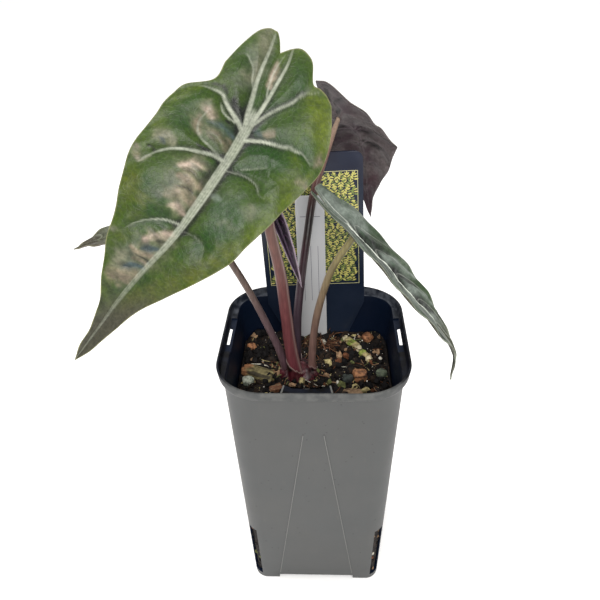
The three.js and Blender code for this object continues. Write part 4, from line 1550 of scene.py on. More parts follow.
def fibres(random: Random, start: Array, heading: Array, length: Pair, radius: Pair, lift: float) -> Surface:
    """Thin crooked fibres that lie on the mix and taper to a point at both ends.

    Args:
        random: source of random numbers.
        start: a point for each fibre.
        heading: direction of each over the mix, in radians.
        length: shortest and longest.
        radius: thinnest and thickest.
        lift: how far the middle may rise above the mix.

    Returns:
        All of them as one surface.
    """
    count, sections, sides = len(start), 8, 5
    s = np.linspace(0, 1, sections)[None]
    size = random.uniform(*length, (count, 1))
    bend = heading[:, None] + random.normal(0, 0.9, (count, 1)) * (s - 0.3)
    step = size / (sections - 1)
    x = start[:, :1] + np.cumsum(step * np.cos(bend), axis=1)
    y = start[:, 1:2] + np.cumsum(step * np.sin(bend), axis=1)
    x, y = pulled_in(x, y, 1.6)
    rise = random.uniform(0, lift, (count, 1)) * np.sin(np.pi * s) + 0.25
    z = np.maximum(soil_height(x, y) + rise, start[:, 2:3] * (1 - s) * (start[:, 2:3] > 100))
    thick = random.uniform(*radius, (count, 1)) * np.clip(np.sin(np.pi * s) * 1.8, 0.02, 1)
    angle = np.linspace(0, 2 * np.pi, sides, endpoint=False)
    out = on_plane(-np.sin(bend), np.cos(bend))
    ring = out[..., None, :] * np.cos(angle)[:, None] + np.array([0, 0, 1.0]) * np.sin(angle)[:, None]
    points = np.stack([x, y, z], axis=-1)[..., None, :] + thick[..., None, None] * ring
    faces = copied_faces(grid_faces(sections, sides, loop=True), count, sections * sides)
    return Surface(points.reshape(-1, 3), faces)


def crumbs(random: Random, places: Array, sizes: Array, colours: Array, jag: float = 0.3) -> Surface:
    """Small angular lumps: coarse balls whose points are pushed in and out at random.

    Args:
        random: source of random numbers.
        places: centre of each.
        sizes: three diameters of each.
        colours: colour of each.
        jag: share by which a point may be pushed.

    Returns:
        All of them as one surface, each point with its "shade".
    """
    shape = ball(3, 7)
    count, corners = len(places), len(shape.points)
    push = 1 + jag * random.uniform(-1, 1, (count, corners, 1))
    points = shape.points[None] * push * sizes[:, None] / 2
    points = np.einsum("nij,nkj->nki", random_turns(count, random), points) + places[:, None]
    shade = np.clip(colours[:, None] * random.uniform(0.7, 1.3, (count, corners, 1)), 0, 1)
    faces = copied_faces(shape.faces, count, corners)
    return Surface(points.reshape(-1, 3), faces, {"shade": shade.reshape(-1, 3)})


class Grit(Enum):
    """Colours of the small matter in the mix, and their shares."""

    BLACK = ((0.006, 0.0055, 0.006), 0.58)
    BROWN = ((0.02, 0.013, 0.009), 0.21)
    RUST = ((0.11, 0.045, 0.022), 0.045)
    TAN = ((0.25, 0.165, 0.1), 0.055)
    STRAW = ((0.34, 0.3, 0.15), 0.045)
    OLIVE = ((0.1, 0.115, 0.045), 0.03)
    PALE = ((0.46, 0.46, 0.4), 0.02)

    @classmethod
    def pick(cls, random: Random, count: int, lively: float = 1.0) -> Array:
        """Random colours; lively above 1 gives more of the bright ones.

        Args:
            random: source of random numbers.
            count: how many.
            lively: factor on the share of bright ones.

        Returns:
            A colour for each.
        """
        shares = np.array([g.value[1] * (lively if k > 1 else 1) for k, g in enumerate(cls)])
        chosen = random.choice(len(shares), count, p=shares / shares.sum())
        return np.array([g.value[0] for g in cls])[chosen]


@dataclass
class PottingMix:
    """Bark and coir mix: a rough bed, loose crumbs and fibres, and what shows at the slots."""

    pot: Pot
    edge_half: float = 35.8
    gap: float = 0.3
    crumb_count: int = 1700
    fibre_count: int = 240
    tuft_count: int = 110

    def bed(self) -> Surface:
        """Block of mix: straight sides down to the floor, and a rough top drawn in by rings.

        Returns:
            The closed block.
        """
        steps, flats = 22, 26
        sides = []
        for depth in (4.3, 30, 60, 85, 100):
            half, corner, z = self.pot.inside(depth, -self.gap)
            sides.append(level(rounded_square(half, corner, steps, flats), z))
        scales = (1 - np.linspace(0, 1, 84, endpoint=False))[:, None]
        edge = rounded_square(self.edge_half, self.pot.corner(SOIL_LEVEL) - 1.3, steps, flats)
        flat = edge[None] * scales[..., None]
        x, y = flat[..., 0], flat[..., 1]
        height = soil_height(x, y) + 0.9 * rough(on_plane(x, y), 3.2, 4, 11) * ease(0, 0.06, 1 - scales) - 0.4
        rings = np.concatenate([sides, np.stack([x, y, height], axis=-1)])
        return capped(rings, np.zeros(len(rings) - 1, int))

    def earth(self) -> Material:
        """Dark damp matter with rust and tan flecks.

        Returns:
            The material.
        """
        paint = Paint("mix_bed", 0.8, 0.2)
        cloud = paint.ramp(paint.mottle(500, 5), 0.35, 0.7)
        colour = paint.mix(cloud, (0.004, 0.0035, 0.004), (0.016, 0.011, 0.008))
        fleck = paint.ramp(paint.mottle(1100, 4, None, 0.6), 0.62, 0.72)
        colour = paint.mix(paint.math("MULTIPLY", fleck, 0.7), colour, (0.08, 0.042, 0.022))
        pale = paint.ramp(paint.cells(420), 0.09, 0.04)
        colour = paint.mix(paint.math("MULTIPLY", pale, 0.6), colour, (0.30, 0.28, 0.22))
        normal = paint.bump(paint.mottle(700, 6), 0.8, 1)
        return paint.finish(colour, None, normal)

    def loose(self) -> Surface:
        """Crumbs over the whole top, more of them small than large.

        Returns:
            The crumbs.
        """
        random = np.random.default_rng(5)
        limit = self.edge_half - 1.6
        x, y = random.uniform(-limit, limit, (2, self.crumb_count))
        size = 0.9 + 4.2 * random.uniform(0, 1, self.crumb_count) ** 3.2
        x, y = pulled_in(x, y, 0.5 + 0.65 * size)
        sizes = size[:, None] * random.uniform(0.45, 1, (self.crumb_count, 3))
        z = soil_height(x, y) + 0.22 * size - 0.2
        colours = Grit.pick(random, self.crumb_count)
        return crumbs(random, np.stack([x, y, z], axis=1), sizes, colours)

    def specks(self) -> Surface:
        """Tiny pale grains.

        Returns:
            The grains.
        """
        random = np.random.default_rng(9)
        count = 180
        x, y = random.uniform(-34, 34, (2, count))
        size = random.uniform(0.25, 0.75, (count, 1))
        x, y = pulled_in(x, y, 1.2)
        places = np.stack([x, y, soil_height(x, y) + 0.55], axis=1)
        colours = np.where(random.uniform(0, 1, (count, 1)) < 0.6, [[0.7, 0.7, 0.66]], [[0.4, 0.33, 0.2]])
        return crumbs(random, places, np.repeat(size, 3, axis=1), colours, 0.15)

    def at_slots(self) -> Surface:
        """Bark bits that press against the inside of the corner slots.

        Returns:
            The bits.
        """
        random = np.random.default_rng(31)
        count = 60
        z = np.tile(np.linspace(4, 38, count // 4), 4) + random.normal(0, 0.6, count)
        z = np.clip(z, 4.6, 38)
        angle = np.radians(np.repeat([45, 135, 225, 315], count // 4))
        half, radius = self.pot.half(z), self.pot.corner(z)
        reach = (half - radius) * math.sqrt(2) + radius - self.pot.wall - 1
        side = random.uniform(-2.1, 2.1, count)
        x = reach * np.cos(angle) - side * np.sin(angle)
        y = reach * np.sin(angle) + side * np.cos(angle)
        sizes = random.uniform(1.3, 3, (count, 3))
        return crumbs(random, np.stack([x, y, z], axis=1), sizes, Grit.pick(random, count, 2.6))

    def threads(self) -> Surface:
        """Fibres over the whole top, and a rusty tuft of them behind the stems.

        Returns:
            The fibres.
        """
        random = np.random.default_rng(17)
        count, tuft, points_each = self.fibre_count, self.tuft_count, 40
        start = random.uniform(-31, 31, (count, 2))
        heading = random.uniform(0, 2 * np.pi, count)
        threads = fibres(random, level(start, 0), heading, (3, 13), (0.10, 0.32), 1.4)
        start = np.column_stack([random.normal(0.5, 5, tuft), random.normal(24.5, 2.2, tuft)])
        tufts = fibres(random, level(start, 0), random.normal(0.2, 1.2, tuft), (3, 10), (0.12, 0.34), 3.2)
        threads.looks = {"shade": Grit.pick(random, count, 3).repeat(points_each, axis=0)}
        rust = np.array([[0.085, 0.042, 0.024]]) * random.uniform(0.5, 1.6, (tuft, 1))
        tufts.looks = {"shade": rust.repeat(points_each, axis=0)}
        return joined(threads, tufts)

    def build(self, frame: PotFrame) -> None:
        """Makes the bed, the crumbs with the specks, the fibres and the bits at the slots.

        Args:
            frame: where the pot stands.
        """
        slot, node, grit = "potting_mix", ("potting_mix",), EarthFinish("mix_crumb").build()
        frame.piece("mix_bed", self.bed(), [self.earth()], slot, node)
        frame.piece("mix_crumbs", joined(self.loose(), self.specks()), [grit], slot, node, 35)
        frame.piece("mix_fibres", self.threads(), [grit], slot, node)
        frame.piece("mix_at_slots", self.at_slots(), [grit], slot, node, 35)


@dataclass
class LoosePiece:
    """A bark chip, split twig or pebble that lies in a hollow of the mix."""

    name: str
    slot: str
    at: Pair
    size: Point
    turn: float
    main: Colour
    other: Colour
    boxy: float = 0.6
    fibrous: float = 0.0
    end: Colour | None = None
    chunks: tuple[Colour, ...] = ()

    def shape(self) -> Surface:
        """Squared ball with layered noise.

        Each coordinate of the unit ball is raised to the power boxy, which squares it. Noise
        stretched along the length makes it fibrous, and finer noise makes it rough. Chunks are
        coloured one after another along it, with a narrow dark seam between them.

        Returns:
            The closed piece.
        """
        surface = ball(36, 56)
        square = (np.sign(surface.points) * np.abs(surface.points) ** self.boxy)[:, [2, 0, 1]]
        seed = sum(map(ord, self.name)) % 97
        body = square * np.array(self.size) / 2
        stretch = body * np.array([1 - 0.8 * self.fibrous, 1, 1])
        lumps = 1 + 0.13 * noise(square, 0.8, seed) + 0.06 * rough(stretch, 1.1, 3, seed + 1)
        body = body * 0.94 * lumps[:, None]
        colour = layered(self.main, self.other, ease(-0.35, 0.45, rough(stretch, 1.5, 4, seed + 2)))
        if self.end is not None:
            colour = layered(colour, self.end, ease(0.35, 0.75, -square[:, 0] + 0.2 * noise(square, 0.4, seed)))
        if self.chunks:
            place = np.clip(square[:, 0] / 2 + 0.5 + 0.03 * noise(square, 0.5, seed), 0, 0.999)
            place = place * len(self.chunks)
            chunk = place.astype(int)
            seam = np.abs(place - chunk - 0.5) * 2
            colour = np.array(self.chunks)[chunk] * (1 - 0.6 * ease(0.82, 1.0, seam))[:, None]
            narrow = 1 - 0.22 * ease(0.6, 1, seam) * ease(0.02, 0.1, 1 - np.abs(square[:, 0]))
            body[:, 1:] *= narrow[:, None]
        x, y = self.at
        base = float(soil_height(np.array(x), np.array(y))) + 0.2 * self.size[2]
        surface.points = body @ turned(self.turn).T + [x, y, base]
        surface.looks = {"shade": np.clip(colour, 0, 1)}
        return surface

    def build(self, frame: PotFrame) -> None:
        """Makes the piece in place of its solid."""
        finish = EarthFinish(f"{self.name}_grain", 0.72, 0.25, 700, 0.2).build()
        frame.piece(f"loose_{self.name}", self.shape(), [finish], self.slot, (self.name,))


# Label and tag


@dataclass
class Plate:
    """Thin plastic plate that stands in the mix, leant a little to the left about its shoulder."""

    centre_x: float
    y: float
    shoulder_z: float
    lean: float
    thickness: float = 0.8

    def stood(self, points: Array) -> Array:
        """Points of the upright plate (x across, y from its middle plane, z up) in their place.

        Args:
            points: points of the upright plate.

        Returns:
            The points in place.
        """
        a = math.radians(self.lean)
        x, y, z = points[:, 0], points[:, 1], points[:, 2] - self.shoulder_z
        across, up = x * math.cos(a) - z * math.sin(a), x * math.sin(a) + z * math.cos(a)
        return np.stack([across + self.centre_x, y + self.y, up + self.shoulder_z], axis=1)

    def slab(self, levels: Array, halves: Array) -> Surface:
        """Closed plate from its half width at each level, with rounded edges.

        Columns run round the plate's section: across the front, round an edge and back. The
        depth grows from a quarter at the edge by the square root of the way in.

        Args:
            levels: heights.
            halves: half width at each.

        Returns:
            The plate in its place.
        """
        across = np.concatenate([np.linspace(-1, 1, 25), np.linspace(1, -1, 25)])
        x = across[None] * halves[:, None]
        from_edge = np.clip((1 - np.abs(across))[None] * halves[:, None] / 0.25, 0, 1)
        y = np.repeat([-1, 1], 25)[None] * self.thickness / 2 * (0.25 + 0.75 * np.sqrt(from_edge))
        z = np.broadcast_to(levels[:, None], x.shape)
        rings = self.stood(np.stack([x, y, z], axis=-1).reshape(-1, 3)).reshape(*x.shape, 3)
        return merged(capped(rings, np.zeros(len(levels) - 1, int)))

    def mark(self, start: Pair, end: Pair, width: float, proud: float = 0.05) -> Surface:
        """Raised line on the front face, between points (x, z) of the upright plate.

        Args:
            start: its start.
            end: its end.
            width: its width.
            proud: its height.

        Returns:
            The line in its place.
        """
        path = np.array([(x, -self.thickness / 2, z) for x, z in (start, end)])
        surface = tube(path, np.array([0.55, 1, 1, 1, 0.55]) * width / 2, 2, 6, proud * 2 / width)
        return Surface(self.stood(surface.points), surface.faces)

    def sprig(self, x: float, z: float, angle_deg: float, size: float) -> Surface:
        """Small leaf on the front face: a lens about as wide as the sine of its length.

        Args:
            x: its foot, across.
            z: its foot, up.
            angle_deg: where it points, from +X.
            size: its length.

        Returns:
            The leaf in its place.
        """
        a = math.radians(angle_deg)
        path = np.array([[0, 0, 0], [0.5, 0, 0], [1, 0, 0]]) * size
        surface = tube(path, np.array([0.02, 0.75, 1, 0.8, 0.02]) * size * 0.2, 6, 6, 0.34 / size)
        px, py, pz = surface.points.T
        across, up = x + px * math.cos(a) - pz * math.sin(a), z + px * math.sin(a) + pz * math.cos(a)
        return Surface(self.stood(np.stack([across, py - self.thickness / 2, up], axis=1)), surface.faces)


@dataclass
class NameLabel:
    """Bare slip-in label with a few ruled lines."""

    plate: Plate = field(default_factory=lambda: Plate(-0.8, 27, 119, 0.9))
    half_width: float = 7.8
    low_half_width: float = 6.6
    top_z: float = 191
    chamfer: float = 3.4
    tip_z: float = 88

    def half(self, z: Array) -> Array:
        """Half width at a height: a point, straight sides that widen, and cut corners.

        Args:
            z: heights.

        Returns:
            Half width at each.
        """
        point = np.clip((z - self.tip_z) / 8, 0.02, 1) * self.low_half_width
        share = np.clip((z - 119) / (self.top_z - self.chamfer - 119), 0, 1)
        side = self.low_half_width + share * (self.half_width - self.low_half_width)
        cut = self.half_width - np.clip(z - (self.top_z - self.chamfer), 0, None)
        return np.minimum(np.minimum(point, side), cut)

    def build(self, frame: PotFrame) -> None:
        """Makes the plate and its ruled lines.

        Args:
            frame: where the pot stands.
        """
        shoulder = self.top_z - self.chamfer
        levels = np.concatenate([
            np.linspace(self.tip_z, self.tip_z + 8, 6), np.linspace(97, shoulder, 40),
            np.linspace(shoulder, self.top_z, 6)[1:]])
        body = self.plate.slab(levels, self.half(levels)).plain(0)
        marks = [self.plate.mark((x, 136), (x, 166), 0.45) for x in (-3.6, -0.2, 3.2)]
        marks.append(self.plate.mark((-4.6, 181), (4.6, 181), 0.6))
        finishes = [Finish.LABEL.made(), Finish.LABEL_RULE.made()]
        whole = joined(body, joined(*marks).plain(1))
        frame.piece("slip_in_label", whole, finishes, "label_plastic", ("name_label",), 40)


@dataclass
class PictureTag:
    """Navy tag with a thin framed panel of plain leafy sprigs."""

    plate: Plate = field(default_factory=lambda: Plate(0.4, 32.5, 131, 2.1))
    half_width: float = 24.1
    corner: float = 4
    top_z: float = 209
    neck_half: float = 14
    neck_z: float = 108
    stake_half: float = 4
    tip_z: float = 84
    panel_z: Pair = (142, 200)
    panel_half: float = 21.6
    leaf_faces: int = 42

    def half(self, z: Array) -> Array:
        """Half width at a height: stake, neck, shoulder, and quarter-circle top corners.

        Args:
            z: heights.

        Returns:
            Half width at each.
        """
        stake = np.interp(z, [80, self.tip_z, self.neck_z, 131], [0.05, self.stake_half, self.neck_half,
                                                                 self.half_width])
        over = np.clip(z - (self.top_z - self.corner), 0, self.corner)
        return stake - self.corner + np.sqrt(self.corner**2 - over**2)

    def sprigs(self) -> Surface:
        """Rows of plain branching sprigs, each with leaves in pairs, all of one design.

        Returns:
            The leaves.
        """
        random = np.random.default_rng(41)
        low, high = self.panel_z
        made = []
        for row, z in enumerate(np.arange(low + 1.4, high - 3.6, 3.5)):
            for x in np.arange(-self.panel_half + 2.2 + 1.45 * (row % 2), self.panel_half - 1.4, 2.9):
                up = 90 + random.uniform(-40, 40)
                made += [
                    self.plate.sprig(x, z + step, up + side * spread, 2.3 - 0.25 * step)
                    for step, spread in ((0, 62), (1, 50), (2, 36)) for side in (-1, 1)
                ]
                made.append(self.plate.sprig(x, z + 2.4, up, 1.7))
        return joined(*made)

    def build(self, frame: PotFrame) -> None:
        """Makes the plate, the panel's frame and its sprigs, some leaves green and some olive.

        Args:
            frame: where the pot stands.
        """
        shoulder = self.top_z - self.corner
        levels = np.concatenate([
            np.linspace(80, 84, 4), np.linspace(86, 131, 14), np.linspace(134, shoulder, 24),
            shoulder + self.corner * np.sin(np.linspace(0, np.pi / 2, 9)[1:])])
        (low, high), side = self.panel_z, self.panel_half
        corners = [(-side, low), (side, low), (side, high), (-side, high)]
        lines = [self.plate.mark(a, b, 0.5) for a, b in zip(corners, corners[1:] + corners[:1])]
        sprigs = self.sprigs()
        leaves = np.random.default_rng(43).choice(2, len(sprigs.faces) // self.leaf_faces, p=(0.6, 0.4))
        sprigs.slots = 2 + leaves.repeat(self.leaf_faces)
        sprigs.looks = {}
        whole = joined(self.plate.slab(levels, self.half(levels)).plain(0), joined(*lines).plain(1), sprigs)
        finishes = [self.navy(), *(f.made() for f in (Finish.TAG_LINE, Finish.TAG_LEAFY, Finish.TAG_OLIVE))]
        frame.piece("printed_tag", whole, finishes, "tag_plastic", ("picture_tag",), 40)

    def navy(self) -> Material:
        """Navy plastic, lighter in the upper part, with a printed grain and faint scuffs.

        Returns:
            The material.
        """
        paint = Paint("tag_navy", 0.3, 0.3)
        cloud = paint.ramp(paint.mottle(60, 4), 0.3, 0.7)
        low = paint.mix(cloud, (0.006, 0.011, 0.024), (0.010, 0.016, 0.030))
        high = paint.mix(cloud, tint((42, 48, 66)), tint((54, 60, 80)))
        height = paint.node("ShaderNodeSeparateXYZ", {"Vector": paint.place}).outputs["Z"]
        colour = paint.mix(paint.ramp(height, 0.190, 0.204), low, high)
        roughness = paint.math("MULTIPLY_ADD", paint.mottle(150, 4), 0.2, 0.22)
        return paint.finish(colour, roughness, paint.bump(paint.mottle(1800, 2), 0.02, 0.4))


# The plant


GREEN = LeafSkin("leaf_green", (57, 88, 30), (76, 99, 46), (94, 113, 34), (92, 89, 78), (206, 212, 192),
                 (178, 178, 132), (36, 47, 32))
SILVER = LeafSkin("leaf_silver", (78, 96, 78), (142, 153, 144), (88, 106, 80), (84, 86, 70),
                  (222, 228, 216), (176, 184, 166), (36, 50, 36), blotch=0.22, glow=1.8)
GREY_GREEN = LeafSkin("leaf_grey_green", (88, 98, 78), (116, 124, 104), (120, 124, 100), (92, 86, 74),
                      (140, 146, 124), (160, 158, 130), (66, 76, 58))
BACK_GREEN = LeafSkin("leaf_back_green", (66, 88, 48), (88, 106, 66), (96, 110, 56), (96, 90, 82),
                      (160, 164, 138), (140, 140, 110), (48, 60, 44))
YOUNG = LeafSkin("leaf_young", (38, 23, 44), (58, 39, 62), (84, 62, 88), (52, 30, 40), (90, 66, 92),
                 (208, 188, 204), (24, 14, 28), 0.3, 0.4)


def underside(name: str, deep: Colour, light: Colour, rib: Colour, roughness: float = 0.48) -> LeafSkin:
    """Dull lower face: two clouded browns and a lighter rib."""
    return LeafSkin(name, deep, light, light, deep, rib, rib, deep, roughness, 0.3)


def strokes(*rows: tuple) -> tuple[Stroke, ...]:
    """Strokes from rows of a tone, half width, share, rise, then t and r of each point in turn."""
    return tuple(Stroke(tuple(zip(row[4::2], row[5::2])), *row[:4]) for row in rows)


# Veins of the large leaf, each drawn from the midrib or the joint to near the margin.
FRONT_VEINS = (
    Vein(((-0.03, 0.18), (-0.11, 0.152), (-0.2, 0.12), (-0.23, 0.085), (-0.23, 0.045), (-0.25, 0.01)), 1, 0.45),
    Vein(((-0.19, 0.13), (-0.31, 0.114), (-0.4, 0.086), (-0.51, 0.068), (-0.66, 0.042), (-0.8, 0.022)),
         0.4, 0.2, 0.5, 0.5),
    Vein(((-0.05, 0.205), (-0.25, 0.2), (-0.42, 0.177), (-0.56, 0.151), (-0.72, 0.122), (-0.88, 0.09)),
         0.95, 0.35),
    Vein(((-0.16, 0.212), (-0.26, 0.216), (-0.36, 0.206), (-0.46, 0.182)), 0.5, 0.3, 0.3, 0.75),
    Vein(((-0.05, 0.318), (-0.2, 0.32), (-0.36, 0.31), (-0.47, 0.288), (-0.53, 0.25), (-0.52, 0.21)),
         0.6, 0.4, 0.2, 0.55),
    Vein(((-0.04, 0.315), (-0.14, 0.328), (-0.3, 0.345), (-0.5, 0.35), (-0.68, 0.351), (-0.83, 0.362)),
         0.95, 0.3),
    Vein(((-0.02, 0.53), (-0.12, 0.543), (-0.28, 0.556), (-0.45, 0.565), (-0.6, 0.57), (-0.74, 0.574)),
         0.5, 0.2, 0.7, 0.7),
    Vein(((0.03, 0.175), (0.07, 0.135), (0.11, 0.1), (0.15, 0.065), (0.17, 0.035), (0.15, 0)), 0.8, 0.4),
    Vein(((0.075, 0.11), (0.045, 0.09), (0.03, 0.06), (0.04, 0.035), (0.08, 0.012)), 0.4, 0.25, 0.3, 0.6),
    Vein(((0.04, 0.18), (0.15, 0.153), (0.3, 0.125), (0.43, 0.095), (0.54, 0.055), (0.62, 0.022), (0.76, 0.006)),
         0.65, 0.2, 0.9, 0.8),
    Vein(((0.05, 0.226), (0.2, 0.22), (0.34, 0.207), (0.48, 0.185), (0.58, 0.15), (0.68, 0.131), (0.86, 0.128)),
         0.75, 0.3),
    Vein(((0.05, 0.336), (0.2, 0.334), (0.34, 0.323), (0.46, 0.312), (0.58, 0.297), (0.7, 0.28)),
         0.4, 0.2, 0.8, 0.4),
    Vein(((0.22, 0.318), (0.32, 0.297), (0.41, 0.272), (0.52, 0.24)), 0.3, 0.2, 0.3, 0.45),
    Vein(((0.05, 0.545), (0.25, 0.54), (0.45, 0.53), (0.62, 0.52)), 0.3, 0.15, 0.6, 0.15),
)

# Where the large leaf is lime, olive, greyish or deep green, with the warm painted highlights, silvery painted
# highlights, blue painted reflections and painted shade of its ripples and veins, from the lobes to the tip, in
# painting order.
FRONT_BANDS = strokes(
    (Tone.LIME, 4.5, 0.75, 0, 0.7, 0.03, 0.94, 0.07),
    (Tone.LIME, 1.8, 0.5, 0, 0.92, 0.14, 0.93, 0.3, 0.9, 0.42),
    (Tone.LIME, 2.6, 0.35, 0, 0.62, 0.15, 0.75, 0.18, 0.78, 0.3),
    (Tone.LIME, 1.6, 0.35, 0, -0.86, 0.1, -0.94, 0.24),
    (Tone.OLIVE, 4.2, 0.6, 0, -0.88, 0.4, -0.78, 0.49, -0.6, 0.5),
    (Tone.OLIVE, 3, 0.4, 0, -0.72, 0.6, -0.6, 0.62),
    (Tone.OLIVE, 5, 0.65, 0, 0.86, 0.42, 0.78, 0.6, 0.6, 0.72),
    (Tone.OLIVE, 2.8, 0.7, 0, 0.15, 0.76, 0.35, 0.8, 0.6, 0.78),
    (Tone.GREY, 4, 0.12, 0, 0.2, 0.36, 0.3, 0.46, 0.42, 0.38),
    (Tone.DEEP, 2.4, 0.7, 0, -0.06, 0.03, -0.1, 0.08, -0.06, 0.14),
    (Tone.DEEP, 2.4, 0.45, 0, -0.62, 0.03, -0.8, 0.07),
    (Tone.DEEP, 3, 0.4, 0, 0.3, 0.03, 0.4, 0.05),
    (Tone.DEEP, 3, 0.35, 0, 0.2, 0.28, 0.45, 0.28, 0.6, 0.2),
    (Tone.DEEP, 3.6, 0.5, 0, -0.72, 0.2, -0.85, 0.2, -0.7, 0.27),
    (Tone.DUSTY, 2.7, 0.6, 0, -0.4, 0, -0.37, 0.05, -0.35, 0.1),
    (Tone.DUSTY, 1.5, 0.5, 0, -0.33, 0.11, -0.5, 0.105, -0.62, 0.085),
    (Tone.GREY, 1.8, 0.6, 0, -0.36, 0.13, -0.5, 0.125, -0.66, 0.1),
    (Tone.SHADOW, 1.9, 0.85, 0, -0.14, 0.182, -0.24, 0.186, -0.34, 0.172),
    (Tone.SHADOW, 0.55, 0.6, 0, -0.5, 0.155, -0.66, 0.123, -0.84, 0.085),
    (Tone.PINK, 0.9, 0.6, 0, 0.04, 0.03, 0.05, 0.085),
    (Tone.SHADOW, 0.5, 0.6, 0, 0.08, 0.165, 0.2, 0.138, 0.34, 0.11, 0.48, 0.07, 0.58, 0.03),
    (Tone.DEEP, 1.7, 0.5, 0, 0.36, 0.155, 0.52, 0.12, 0.62, 0.07),
    (Tone.DUSTY, 3.4, 0.55, 0, -0.52, 0.21, -0.5, 0.25, -0.3, 0.27),
    (Tone.DUSTY, 4.6, 0.75, 0, -0.28, 0.375, -0.24, 0.43, -0.2, 0.5),
    (Tone.DUSTY, 4.6, 0.75, 0, -0.1, 0.6, -0.26, 0.66, -0.4, 0.72),
    (Tone.GREY, 3.6, 0.7, 0, -0.5, 0.66, -0.6, 0.7),
    # Between the first two left laterals.
    (Tone.PINK, 1.5, 0.85, 0.2, -0.54, 0.21, -0.46, 0.222, -0.4, 0.236),
    (Tone.DUSTY, 1.1, 0.6, 0, -0.58, 0.18, -0.6, 0.205),
    (Tone.SHADOW, 1, 0.85, 0, -0.26, 0.228, -0.09, 0.232),
    (Tone.SLATE, 1.5, 0.9, -0.25, -0.42, 0.25, -0.26, 0.252, -0.11, 0.25),
    (Tone.TAN, 0.8, 0.6, 0, -0.17, 0.268, -0.08, 0.262),
    (Tone.BRONZE, 1.7, 0.85, 0, -0.36, 0.283, -0.1, 0.288),
    (Tone.TAN, 1, 0.85, 0.15, -0.54, 0.235, -0.51, 0.27, -0.44, 0.295),
    (Tone.SHADOW, 0.7, 0.75, 0, -0.4, 0.33, -0.16, 0.334),
    # Beside the left margin, above the second left lateral.
    (Tone.DUSTY, 2, 0.85, 0, -0.86, 0.285, -0.74, 0.3, -0.64, 0.333),
    (Tone.TAN, 1, 0.65, 0, -0.96, 0.3, -0.9, 0.35),
    (Tone.SHADOW, 0.6, 0.8, -0.25, -0.87, 0.31, -0.81, 0.325, -0.76, 0.345),
    (Tone.SLATE, 0.5, 0.6, -0.15, -0.8, 0.298, -0.72, 0.325),
    (Tone.PALE, 0.5, 0.5, 0, -0.88, 0.362, -0.78, 0.356),
    # Between the second and third left laterals.
    (Tone.GREY, 1.9, 0.6, 0, -0.42, 0.43, -0.44, 0.5),
    (Tone.SHADOW, 1, 0.8, 0, -0.11, 0.37, -0.075, 0.41),
    (Tone.PINK, 1.3, 0.85, 0.25, -0.4, 0.398, -0.3, 0.385, -0.18, 0.383),
    (Tone.BRONZE, 0.6, 0.8, -0.3, -0.36, 0.408, -0.18, 0.404),
    (Tone.TAN, 1.6, 0.9, 0.25, -0.38, 0.428, -0.2, 0.432, -0.08, 0.425),
    (Tone.SHADOW, 0.45, 0.65, -0.25, -0.34, 0.458, -0.12, 0.447),
    (Tone.TAN, 2.2, 0.8, 0.15, -0.36, 0.483, -0.2, 0.475, -0.06, 0.468),
    (Tone.PINK, 1.2, 0.65, 0, -0.26, 0.515, -0.07, 0.505),
    # Below the third left lateral.
    (Tone.DUSTY, 1.2, 0.7, 0, -0.93, 0.545, -0.86, 0.56),
    (Tone.PINK, 1.2, 0.9, 0.3, -0.07, 0.57, -0.2, 0.597, -0.36, 0.625),
    (Tone.SHADOW, 0.6, 0.7, -0.2, -0.06, 0.602, -0.16, 0.612),
    (Tone.TAN, 1.3, 0.9, 0.3, -0.1, 0.655, -0.3, 0.662, -0.5, 0.645),
    (Tone.SLATE, 1, 0.95, -0.35, -0.08, 0.627, -0.2, 0.638, -0.33, 0.647),
    (Tone.TAN, 0.8, 0.85, 0.2, -0.12, 0.684, -0.42, 0.68),
    (Tone.SHADOW, 0.45, 0.8, -0.25, -0.1, 0.672, -0.36, 0.67),
    (Tone.DUSTY, 2, 0.7, 0, -0.6, 0.665, -0.74, 0.69),
    (Tone.TAN, 2.3, 0.85, 0.2, -0.18, 0.725, -0.45, 0.735, -0.74, 0.72),
    (Tone.SLATE, 1, 0.95, -0.35, -0.12, 0.691, -0.28, 0.7, -0.5, 0.707),
    # The right half.
    (Tone.SLATE, 1.3, 0.6, 0, 0.12, 0.195, 0.17, 0.2),
    (Tone.TAN, 1.3, 0.8, 0, 0.22, 0.193, 0.33, 0.188),
    (Tone.TAN, 1.1, 0.8, 0, 0.91, 0.095, 0.9, 0.118),
    (Tone.TAN, 1, 0.75, 0, 0.82, 0.18, 0.9, 0.165, 0.98, 0.155),
    (Tone.SILVER, 1.1, 0.4, 0, 0.13, 0.42, 0.22, 0.418),
    (Tone.DUSTY, 1.8, 0.4, 0, 0.62, 0.33, 0.72, 0.35),
    (Tone.DUSTY, 0.9, 0.25, 0, 0.7, 0.39, 0.55, 0.42, 0.42, 0.465),
)

# Painted shade in the hollows beside the right leaf's midrib, painted silver highlights on the folds that cross
# between them, and deep green and olive patches.
RIGHT_BANDS = strokes(
    (Tone.SILVER, 4, 0.6, 0, 0.1, 0.02, 0.5, 0.1, 0.5, 0.25),
    (Tone.DEEP, 2.4, 0.55, 0, 0.6, 0.3, 0.8, 0.5, 0.7, 0.68),
    (Tone.DEEP, 2.4, 0.8, 0, 0.3, 0.84, 0.5, 0.9),
    (Tone.OLIVE, 1.6, 0.4, 0, -0.25, 0.1, -0.6, 0.08),
    *((Tone.SHADOW, half, 0.78, -0.35, 0.08, r - 0.05, 0.22, r, 0.3, r + 0.05, 0.55, r + 0.09)
      for r, half in ((0.3, 1.9), (0.48, 1.4), (0.64, 1.5), (0.79, 1.2))),
    *((Tone.SILVER, 1.2, 0.75, 0.2, 0.06, r, 0.3, r + 0.015, 0.6, r + 0.06, 0.85, r + 0.1)
      for r in (0.38, 0.55, 0.7)),
    *((Tone.SHADOW, 0.5, 0.6, 0, -0.15, r, -0.5, r + 0.04, -0.9, r + 0.07) for r in (0.26, 0.38, 0.5, 0.62)),
)
